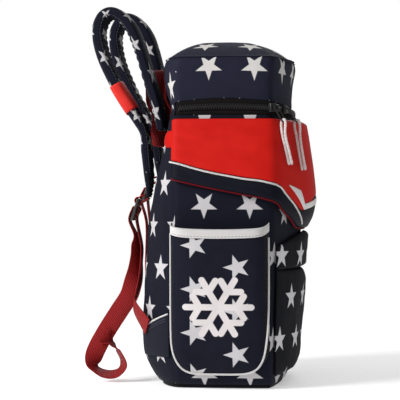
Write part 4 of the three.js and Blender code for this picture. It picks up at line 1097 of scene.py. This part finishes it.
PIPED = [
    (0.006, 0.93), (0.005, 0.62), (0.007, 0.32), (0.025, 0.13), (0.075, 0.035), (0.2, 0.01), (0.5, 0.006),
    (0.8, 0.01), (0.925, 0.035), (0.975, 0.13), (0.992, 0.32), (0.995, 0.62), (0.994, 0.9),
]
for name, side in SIDES:
    def pocket_place(u, v, side=side):
        places = pocket_point(side, u, v, POCKET_WALL)
        fade = ease(u, 0, 0.08) * (1 - ease(u, 0.92, 1)) * ease(v, 0, 0.1) * (1 - ease(v, 0.8, 0.93))
        waves = (rumple(places, 48.0, 3.0, 4.0) + rumple(places, 17.0, 0.9, 8.0)) * fade
        places[:, 1] += side * -np.minimum(waves, 1.4)
        return places

    def pocket_chart(u, v, mu, mv, side=side):
        places = pocket_point(side, u, v, 0.0)
        return (places[:, 2] - POCKET_STAR[1]) * POCKET_STRETCH, -(places[:, 0] - POCKET_STAR[0])

    pocket = panel(f"pocket_cloth_{name}", 84, 60, pocket_place, [pocket_cloth, mesh_cloth], pocket_chart,
                   wall=1.4, flip=side < 0, pick=lambda u, v: (np.abs(2 * u - 1) > 0.9).astype(int))
    fit(pocket, f"side_pocket_{name}")
    binding = panel(f"pocket_binding_tape_{name}", 90, 16, lambda u, v, side=side: binding_point(side, u, v),
                    grosgrain, lambda u, v, mu, mv: (170 * u, 24 * v), flip=side < 0)
    fit(binding, f"pocket_binding_{name}")
    rows = np.array(PIPED)
    route = curve_through(rows, np.linspace(0, 1, 140))
    places = pocket_point(side, np.clip(route[:, 0], 0, 1), np.clip(route[:, 1], 0, 1), POCKET_WALL + 0.9)
    cord = tube(f"pocket_piping_{name}", places, 1.4, piping_cloth, steps=0, sides=8)
    fit(cord)
    ways = np.linspace(0.05, 0.95, 90)
    seam = pocket_point(side, ways, 1 - 0.8 * BINDING_HEIGHT / POCKET_HEIGHT + 0 * ways, POCKET_WALL + 1.3)
    girths = POCKET_REAR + (POCKET_FRONT - POCKET_REAR) * ways
    stitches(f"binding_stitches_{name}", seam, body_out(side * girths, 150.0 + 0 * ways), white_thread, 0.4)


# ---- Front pocket ----
# A full zipped pocket on the front with a shallow flap above it, both of the printed canvas and closed
# down their sides.
FRONT_POCKET_FLOOR = 17.0
FRONT_POCKET_TOP = 153.0
FRONT_POCKET_DEPTH = 9.5
FRONT_POCKET_WALL = 2.0
FRONT_FLAP_TOP = 203.0
FRONT_FLAP_SLOPE = 22.0
FRONT_FLAP_DEPTH = 7.0
FRONT_START = FRONT_SEAM + 0.022
POCKET_STAR_SHIFT = 12.0
# The same printed canvas with painted shade: its navy is set darker than the sides' for the shade that falls
# on the front, and its star ink is painted lighter to make up for that shade.
front_cloth_shade_painted = printed_cloth("printed_canvas_front_shade_painted", "0b0c13", "101119", "dcdadd")


def front_place(bottom_of, top_of, depth, seed):
    def place(u, v):
        girth = round_front(u, FRONT_START)
        low, high = bottom_of(girth), top_of(girth)
        z = low + (high - low) * v
        way = (1 - np.abs(girth)) / (1 - FRONT_START)
        edge = np.minimum(1, 9.6 * v * (1 - v))
        stand = 0.9 + depth * (1 - way ** 3) * np.sqrt(np.maximum(edge, 0)) + FRONT_POCKET_WALL
        places = on_body(girth, z, stand)
        waves = rumple(places, 45.0, 2.2, seed) + rumple(places, 16.0, 0.7, seed + 3)
        fade = ease(v, 0, 0.1) * (1 - ease(v, 0.9, 1)) * (1 - way ** 4)
        return places + body_out(girth, z) * (np.minimum(waves, 1.0) * fade)[:, None]
    return place


def front_chart(bottom_of, top_of):
    def chart(u, v, mu, mv):
        girth = round_front(u, FRONT_START)
        low, high = bottom_of(girth), top_of(girth)
        near = FRONT_SIDE + POCKET_STAR_SHIFT
        across = (side_arc(girth) - near) * meeting(side_arc(1.0) - near)
        return across, low + (high - low) * v - FRONT_STAR[1]
    return chart


def flap_top(girth):
    return FRONT_FLAP_TOP - FRONT_FLAP_SLOPE * ((1 - np.abs(girth)) / (1 - FRONT_SEAM)) ** 2


for name, bottom_of, top_of, depth, node in (
        ("front_pocket_cloth", lambda g: FRONT_POCKET_FLOOR + 0 * g, lambda g: FRONT_POCKET_TOP + 0 * g,
         FRONT_POCKET_DEPTH, "front_pocket"),
        ("front_flap_cloth", lambda g: FRONT_POCKET_TOP + 1 + 0 * g, flap_top,
         FRONT_FLAP_DEPTH, "front_flap")):
    piece = panel(name, 110, 44, front_place(bottom_of, top_of, depth, 6.0), front_cloth_shade_painted,
                  front_chart(bottom_of, top_of), wall=1.5)
    fit(piece, node)


# ---- Shoulder straps ----
# Padded straps of the printed canvas over foam, smooth outside and gathered inside, with a turned-in
# seam along both edges. Each is sewn in under the lid and arches back over the bag.
STRAP_WIDTH = 60.0
STRAP_THICK = 17.0
STRAP_SPREAD = 62.0
STRAP_ROOT = 338.0
STRAP_RISE = 157.0
STRAP_REACH = 92.0
RIGHT_STRAP_LIFT = 6.0
RIGHT_LOCK_LIFT = 26.0
GATHER_DEPTH = 1.5
GATHER_PITCH = 13.0
STRAP_LENGTH = 640.0
# out, up, thick, wide
STRAP_ROWS = [
    (0.08, 0.0, 0.8, 0.9), (0.1, 0.085, 0.9, 0.95), (0.17, 0.257, 1.0, 1.0), (0.259, 0.427, 1.0, 1.0),
    (0.346, 0.599, 0.95, 1.0), (0.418, 0.726, 1.0, 1.0), (0.507, 0.853, 1.0, 1.0), (0.633, 0.949, 0.95, 1.0),
    (0.799, 1.0, 0.9, 1.0), (0.929, 0.965, 0.95, 1.0), (1.0, 0.863, 1.0, 1.0), (0.988, 0.752, 1.0, 1.0),
    (0.929, 0.624, 1.0, 1.0), (0.827, 0.487, 1.0, 1.0), (0.696, 0.342, 1.0, 1.0), (0.55, 0.205, 1.0, 1.0),
    (0.41, 0.076, 0.9, 1.0), (0.325, -0.03, 0.72, 0.95), (0.3, -0.172, 0.85, 0.95),
    (0.27, -0.385, 0.72, 0.85), (0.262, -0.5, 0.5, 0.7), (0.27, -0.575, 0.36, 0.55),
]
LAST_UP = STRAP_ROWS[-1][1]


def lock_lift(side):
    return RIGHT_LOCK_LIFT if side < 0 else 0.0


def strap_points(side):
    root = back_at(STRAP_ROOT)
    lift = RIGHT_STRAP_LIFT if side < 0 else 0.0
    points = []
    for out, up, _, _ in STRAP_ROWS:
        high = min(max(up, 0.0), 1.0)
        below = min(max(up / LAST_UP, 0.0), 1.0)
        points.append((root - STRAP_REACH * out + lift * high, -side * STRAP_SPREAD,
                       STRAP_ROOT + STRAP_RISE * up + lift * high + lock_lift(side) * below))
    return np.array(points)


def strap_place(side, turn, share, grow, gather):
    """A place on the padded strap: turn goes round its section, share along it."""
    points = strap_points(side)
    middle = curve_through(points, share)
    way = unit(curve_through(points, np.minimum(1, share + 0.004))
               - curve_through(points, np.maximum(0, share - 0.004)))
    across = np.array([0.0, 1.0, 0.0])
    inward = np.cross(way, across)
    keys = np.linspace(0, 1, len(STRAP_ROWS))
    wide = STRAP_WIDTH / 2 * np.interp(share, keys, [row[3] for row in STRAP_ROWS]) + grow
    thick = STRAP_THICK / 2 * np.interp(share, keys, [row[2] for row in STRAP_ROWS]) + grow
    flat = np.sign(np.cos(turn)) * np.abs(np.cos(turn)) ** 0.5
    deep = np.sign(np.sin(turn)) * np.abs(np.sin(turn)) ** 0.62
    far = share * STRAP_LENGTH
    folds = np.abs(np.sin(pi * far / GATHER_PITCH + 0.6 * np.sin(far / 31))) - 1
    pull = np.clip(deep, 0, 1) * gather * folds
    crown = 0.6 * np.abs(np.sin(turn)) ** 2
    seam = 1.0 * np.exp(-((np.abs(np.cos(turn)) - 1) / 0.004) ** 2) * (gather > 0)
    places = middle + across * (flat * (wide - seam))[:, None]
    return places + inward * (deep * (thick - 0.6 + crown) + pull)[:, None]


def close_ends():
    """Fills the open ends of the piece just made and turns its faces outward."""
    bpy.ops.object.mode_set(mode="EDIT")
    bpy.ops.mesh.select_all(action="DESELECT")
    bpy.ops.mesh.select_non_manifold()
    bpy.ops.mesh.fill_holes(sides=0)
    bpy.ops.mesh.select_all(action="SELECT")
    bpy.ops.mesh.normals_make_consistent(inside=False)
    bpy.ops.object.mode_set(mode="OBJECT")


strap_cloth = printed_cloth("printed_canvas_strap", "151622", "1d1f2f", "d0cdce")
# The same canvas left plain, as the straps' lower ends and the wings are: dull and fine-woven.
plain_navy, tree, shader = material("plain_canvas_navy", 0.8, Sheen_Weight=0.03, Specular_IOR_Level=0.1)
across, along, chart = chart_axes(tree)
weave = weave_height(tree, across, along, WEAVE_PITCH)
tinted(tree, shader, halfway(tree, weave), "141520", "20222f")
bump(tree, shader, weave, 0.2)
for name, side in SIDES:
    strap = panel(
        f"strap_pad_{name}", 44, 300,
        lambda u, v, side=side: strap_place(side, 2 * pi * u, v, -0.3, GATHER_DEPTH),
        [strap_cloth, plain_navy], lambda u, v, mu, mv: (150 * u - 38, STRAP_LENGTH * v + 12), merge=True,
        pick=lambda u, v: (v > 0.9).astype(int))
    close_ends()
    fit(strap, f"shoulder_strap_{name}")
    shares = np.linspace(0.02, 0.9, 400)
    for edge, turn in (("near", 0.86 * pi), ("far", 0.14 * pi)):
        low = strap_place(side, turn + 0 * shares, shares, 0.1, 0.0)
        outs = low - strap_place(side, turn + 0 * shares, shares, -3.0, 0.0)
        stitches(f"strap_stitches_{edge}_{name}", low, outs, dark_thread, 0.4)


# ---- Label ----
# A plain red woven label folded round the near edge of the left strap, bare, with a fine satin weave.
label_cloth = laminate("woven_satin_label", "c92a26", "d93a32", 0.45)
label = panel("label_cloth", 24, 16,
              lambda u, v: strap_place(1, pi / 2 + pi * u, (34 + 4 * v) / 52, 1.2, 0.0), label_cloth,
              lambda u, v, mu, mv: (70 * u, 45 * v), wall=0.8)
fit(label, "strap_label")


# ---- Webbing and ladder locks ----
# Ribbed red polypropylene webbing, 25 mm wide. From each sewn wing it runs up the back, over the bar
# of a moulded lock and down as a loose tail; the left tail is sewn back on itself as a finger loop.
WEB_WIDTH = 25.0
WEB_THICK = 1.6
LOCK_LENGTH = 30.0
LOCK_THICK = 3.6
LOCK_SLOT = 8.0
LOCK_BAR = 4.5
LOCK_HEIGHT = 231.0
LOCK_OUT = 17.0
LOCK_TILT = 0.3
TAIL_REACH = 70.0
WING_FLOOR = 40.0
WING_TOP = 97.0
WING_THICK = 2.0
WING_START = 0.19
WING_SPAN = 0.145
SEAT = 0.84
LOCK_TOP_BAR = LOCK_LENGTH / 2 - LOCK_BAR / 2
LOCK_MID_BAR = LOCK_LENGTH / 2 - LOCK_BAR - LOCK_SLOT - LOCK_BAR / 2
ROUND_BAR = np.hypot(LOCK_THICK, LOCK_BAR) / 2 + SEAT + WEB_THICK / 2
# out, up, fore, wx, wy, wz
TAIL_LEFT = [
    (0.136, 0.853, 0.0, 0.1, 1.0, 0.0), (0.14, 0.795, 0.0, 0.35, 0.94, 0.0),
    (0.13, 0.732, 0.0, 0.5, 0.87, 0.0), (0.147, 0.649, 0.0, 0.75, 0.66, 0.0),
    (0.204, 0.563, 0.0, 0.97, 0.2, -0.2), (0.281, 0.494, 0.0, 0.95, 0.0, -0.3),
    (0.443, 0.418, 0.0, 0.87, 0.0, -0.5), (0.586, 0.351, 0.0, 0.85, 0.0, -0.52),
    (0.72, 0.286, 0.0, 0.87, 0.05, -0.5), (0.856, 0.214, 0.0, 0.9, 0.12, -0.42),
    (0.95, 0.147, 0.0, 0.85, 0.4, -0.3), (0.965, 0.088, 0.02, 0.5, 0.85, -0.15),
    (0.817, 0.052, 0.05, 0.1, 0.95, 0.25), (0.626, 0.04, 0.08, 0.0, 0.92, 0.35),
    (0.453, 0.056, 0.12, -0.1, 0.92, 0.4), (0.367, 0.108, 0.16, -0.45, 0.8, 0.4),
    (0.471, 0.178, 0.19, -0.6, 0.45, 0.62), (0.606, 0.227, 0.21, -0.62, 0.22, 0.72),
    (0.74, 0.27, 0.2, -0.6, 0.0, 0.78),
]
TAIL_RIGHT = [
    (0.14, 0.85, 0.0, 0.0, 1.0, 0.0), (0.15, 0.6, 0.0, 0.0, 1.0, 0.0), (0.13, 0.35, 0.0, 0.0, 1.0, 0.0),
    (0.14, 0.1, 0.0, 0.0, 1.0, 0.0),
]
# out, up, side, wx, wy, wz
WEB_RUN = [
    (0.5, 0.44, 0.42, 0.2, 0.8, 0.55), (0.55, 0.5, 0.3, 0.1, 0.9, 0.35), (0.36, 0.585, 0.18, 0.0, 1.0, 0.2),
    (0.33, 0.71, 0.08, 0.0, 1.0, 0.0), (0.4, 0.8, 0.02, 0.0, 1.0, 0.0),
]
# Nylon, as ladder locks are moulded from: dark grey, a little duller than the zip.
lock_nylon = moulded("moulded_nylon", 0.42, "2b2a28", "3f3d3a")
# Polypropylene webbing: lengthwise ribs about 2 mm apart crossed by fine picks, with a waxy gloss.
webbing_cloth, tree, shader = material("woven_polypropylene", 0.6, Specular_IOR_Level=0.2, Sheen_Weight=0.03)
across, along, chart = chart_axes(tree)
ribs = wave(tree, across, 2.1)
picks = wave(tree, along, 1.3)
height = calc(tree, "ADD", calc(tree, "MULTIPLY", ribs, 0.7),
              calc(tree, "MULTIPLY", calc(tree, "MULTIPLY", picks, ribs), 0.3))
tinted(tree, shader, halfway(tree, height), "6a070a", "a51417")
bump(tree, shader, height, 0.4)


def ribbon(name, middles, across, steps, finish=None, width=WEB_WIDTH, thick=WEB_THICK):
    """A band of webbing with rounded selvedges through rows of middle and width direction."""
    shares = np.linspace(0, 1, steps + 1)
    line = curve_through(middles, shares)
    wide = curve_through(across, shares)
    way = unit(np.gradient(line, axis=0))
    wide = unit(wide - way * np.sum(wide * way, axis=1)[:, None])
    face = np.cross(way, wide)
    far = run(line)
    # side and face shares of the section's corners
    ring = np.array([(-1, -0.5), (-0.94, -1), (0.94, -1), (1, -0.5), (1, 0.5), (0.94, 1), (-0.94, 1),
                     (-1, 0.5), (-1, -0.5)])

    def place(u, v):
        row = (v * steps).round().astype(int)
        corner = ring[(u * 8).round().astype(int)]
        return line[row] + wide[row] * (corner[:, :1] * width / 2) + face[row] * (corner[:, 1:] * thick / 2)

    def chart(u, v, mu, mv):
        corner = ring[(u * 8).round().astype(int)]
        return corner[:, 0] * width / 2, far[(v * steps).round().astype(int)]

    piece = panel(name, 8, steps, place, finish or webbing_cloth, chart, merge=True)
    close_ends()
    bpy.ops.object.shade_smooth_by_angle(angle=radians(50.0))
    fit(piece)
    return piece


def by_lock(side, inward, up):
    """A place by the lock, from its middle: in towards the bag and up along its frame."""
    x = back_at(LOCK_HEIGHT) - LOCK_OUT - LOCK_THICK / 2
    turned = Matrix.Rotation(LOCK_TILT, 3, "Y") @ Vector((inward, 0.0, up))
    return np.array((x, -side * STRAP_SPREAD, LOCK_HEIGHT + lock_lift(side))) + np.array(turned)


def webbing_rows(side):
    spread = -side * STRAP_SPREAD
    face = SEAT + WING_THICK + SEAT + WEB_THICK / 2
    rows = [(on_body(side * 0.25, WING_TOP * 0.8, face + WEB_WIDTH / 12), (0.35, -side * 0.6, 0.7))]
    for out, up, aside, wx, wy, wz in WEB_RUN:
        x = back_at(LOCK_HEIGHT * up) - LOCK_OUT * out
        rows.append((np.array((x, spread * (1 + aside), LOCK_HEIGHT * up)), (wx, -side * wy, wz)))
    rows.append((by_lock(side, ROUND_BAR, -LOCK_LENGTH * 0.42), (0, -side, 0)))
    for turn in np.linspace(0, pi, 5):
        spot = by_lock(side, ROUND_BAR * cos(turn), LOCK_MID_BAR + ROUND_BAR * sin(turn))
        rows.append((spot, (0, -side, 0)))
    rows.append((by_lock(side, -ROUND_BAR, -LOCK_LENGTH * 0.52), (0, -side, 0)))
    for out, up, fore, wx, wy, wz in TAIL_LEFT if side > 0 else TAIL_RIGHT:
        place = (-BODY_BACK - TAIL_REACH * out, spread - side * WEB_WIDTH * fore,
                 LOCK_HEIGHT * up + lock_lift(side) / 2)
        rows.append((np.array(place), (-side * wx, -side * wy, -side * wz)))
    return np.array([row[0] for row in rows], float), np.array([row[1] for row in rows], float)


for name, side in SIDES:
    middles, across = webbing_rows(side)
    band = ribbon(f"webbing_{name}", middles, across, 8 * (len(middles) - 1))
    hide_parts(f"strap_webbing_{name}")
    end = strap_points(side)[-1]
    end_thick = STRAP_THICK * STRAP_ROWS[-1][2]
    middles = [(end[0], end[1], end[2] - SEAT - WEB_THICK / 2)]
    middles += [by_lock(side, cos(t) * ROUND_BAR, LOCK_TOP_BAR - sin(t) * ROUND_BAR)
                for t in np.linspace(0.3, 1.45 * pi, 11)]
    middles.append((end[0] - end_thick / 2 - SEAT - WEB_THICK / 2, end[1], end[2] + 2 * WEB_THICK))
    loop = ribbon(f"lock_loop_{name}", np.array(middles, float),
                  np.array([(0.0, 1.0, 0.0)] * len(middles)), 60)
    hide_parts(f"strap_loop_{name}")
    softened(f"lock_{name}", f"ladder_lock_{name}", 0.9, lock_nylon)


# ---- Wings ----
# A stitched tongue of plain navy canvas low on each rear corner, its top edge piped, that the webbing
# is sewn under.
for name, side in SIDES:
    def wing_line(u):
        return WING_TOP - (WING_TOP - WING_FLOOR) * 0.42 * (1 - u)

    def wing_place(u, v, side=side):
        girth = WING_START + WING_SPAN * u
        edge = np.minimum(1, 7 * np.minimum(np.minimum(u, 1 - u), np.minimum(v, 1 - v)))
        z = WING_FLOOR + (wing_line(u) - WING_FLOOR) * v
        return on_body(side * girth, z, SEAT + 0.9 + 1.2 * np.sqrt(edge))

    wing = panel(f"wing_cloth_{name}", 30, 24, wing_place, plain_navy, lambda u, v, mu, mv: (60 * u, 50 * v),
                 wall=1.0, flip=side < 0)
    fit(wing, f"strap_wing_{name}")
    ways = np.linspace(0.02, 0.98, 50)
    girths = side * (WING_START + WING_SPAN * ways)
    trim = tube(f"wing_piping_{name}", on_body(girths, wing_line(ways), 3.0), 1.2, piping_cloth,
                steps=0, sides=8)
    fit(trim)
    for row, drop in enumerate((5.0, 8.0)):
        z = wing_line(ways) - drop
        stitches(f"wing_stitches_{row}_{name}", on_body(girths, z, 3.3), body_out(girths, z),
                 dark_thread, 0.4)


# ---- Haul loop ----
# The same red webbing bent on edge into a carrying loop behind the lid, its ends sewn into the back.
HAUL_HALF_WIDTH = 24.0
HAUL_FOOT = 318.0
HAUL_RISE = 105.0
HAUL_LEAN = 6.0
middles = []
for turn in np.linspace(0, pi, 31):
    up = sin(turn) ** 0.6
    z = HAUL_FOOT + HAUL_RISE * up
    skin = -back_at(min(BODY_TOP, z))
    past_lid = LID_BACK * float(ease(z, BODY_TOP - LID_GAP, LID_BOTTOM))
    x = -max(skin, past_lid) - SEAT - WEB_WIDTH / 2 - HAUL_LEAN * up
    middles.append((x, -HAUL_HALF_WIDTH * cos(turn), z))
haul = ribbon("haul_webbing", np.array(middles), np.array([(1.0, 0.0, 0.0)] * len(middles)), 90)
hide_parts("haul_loop")


# ---- Floor and light ----
# A plain pale studio: a floor that glows faintly, so that it stays nearly white, and a surround that is
# seen white but lights the bag only in part. A large soft light stands high on the left.
SURROUND_LIGHT = 0.3
FLOOR_GLOW = 0.4
FLOOR_SIZE = 1.9
floor_material, tree, shader = material("painted_studio_floor", 0.9, Specular_IOR_Level=0.1)
where = add(tree, "ShaderNodeTexCoord")
mottle = add(tree, "ShaderNodeTexNoise", {0: where.outputs["Object"]}, in_2=2.0)
shade = tinted(tree, shader, mottle.outputs[0], "f6f6f6", "fafafa")
tree.links.new(shade.outputs[0], shader.inputs["Emission Color"])
shader.inputs["Emission Strength"].default_value = FLOOR_GLOW
bpy.ops.object.select_all(action="DESELECT")
bpy.ops.mesh.primitive_plane_add(size=FLOOR_SIZE, location=(0.0, 0.0, -0.0005))
floor = bpy.context.object
floor.name = "studio_floor"
floor.data.materials.append(floor_material)
world = bpy.data.worlds.new("studio_surround")
bpy.context.scene.world = world
world.use_nodes = True
tree = world.node_tree
seen_white = add(tree, "ShaderNodeLightPath")
tree.nodes["Background"].inputs[0].default_value = colour("ffffff")
strength = add(tree, "ShaderNodeMapRange", {0: seen_white.outputs[0]}, in_3=SURROUND_LIGHT, in_4=1.0)
tree.links.new(strength.outputs[0], tree.nodes["Background"].inputs[1])
for name, place, size, power in (
        ("key_light", (-1.9, -1.5, 1.5), 1.0, 74.0),
        ("fill_light", (1.9, -1.6, 0.8), 1.6, 1.5),
        ("back_light", (0.4, 2.2, 1.8), 1.5, 20.0)):
    data = bpy.data.lights.new(name, "AREA")
    data.size = size
    data.energy = power
    light = bpy.data.objects.new(name, data)
    light.location = place
    light.rotation_euler = (MM * AIM - Vector(place)).to_track_quat("-Z", "Y").to_euler()
    bpy.context.collection.objects.link(light)
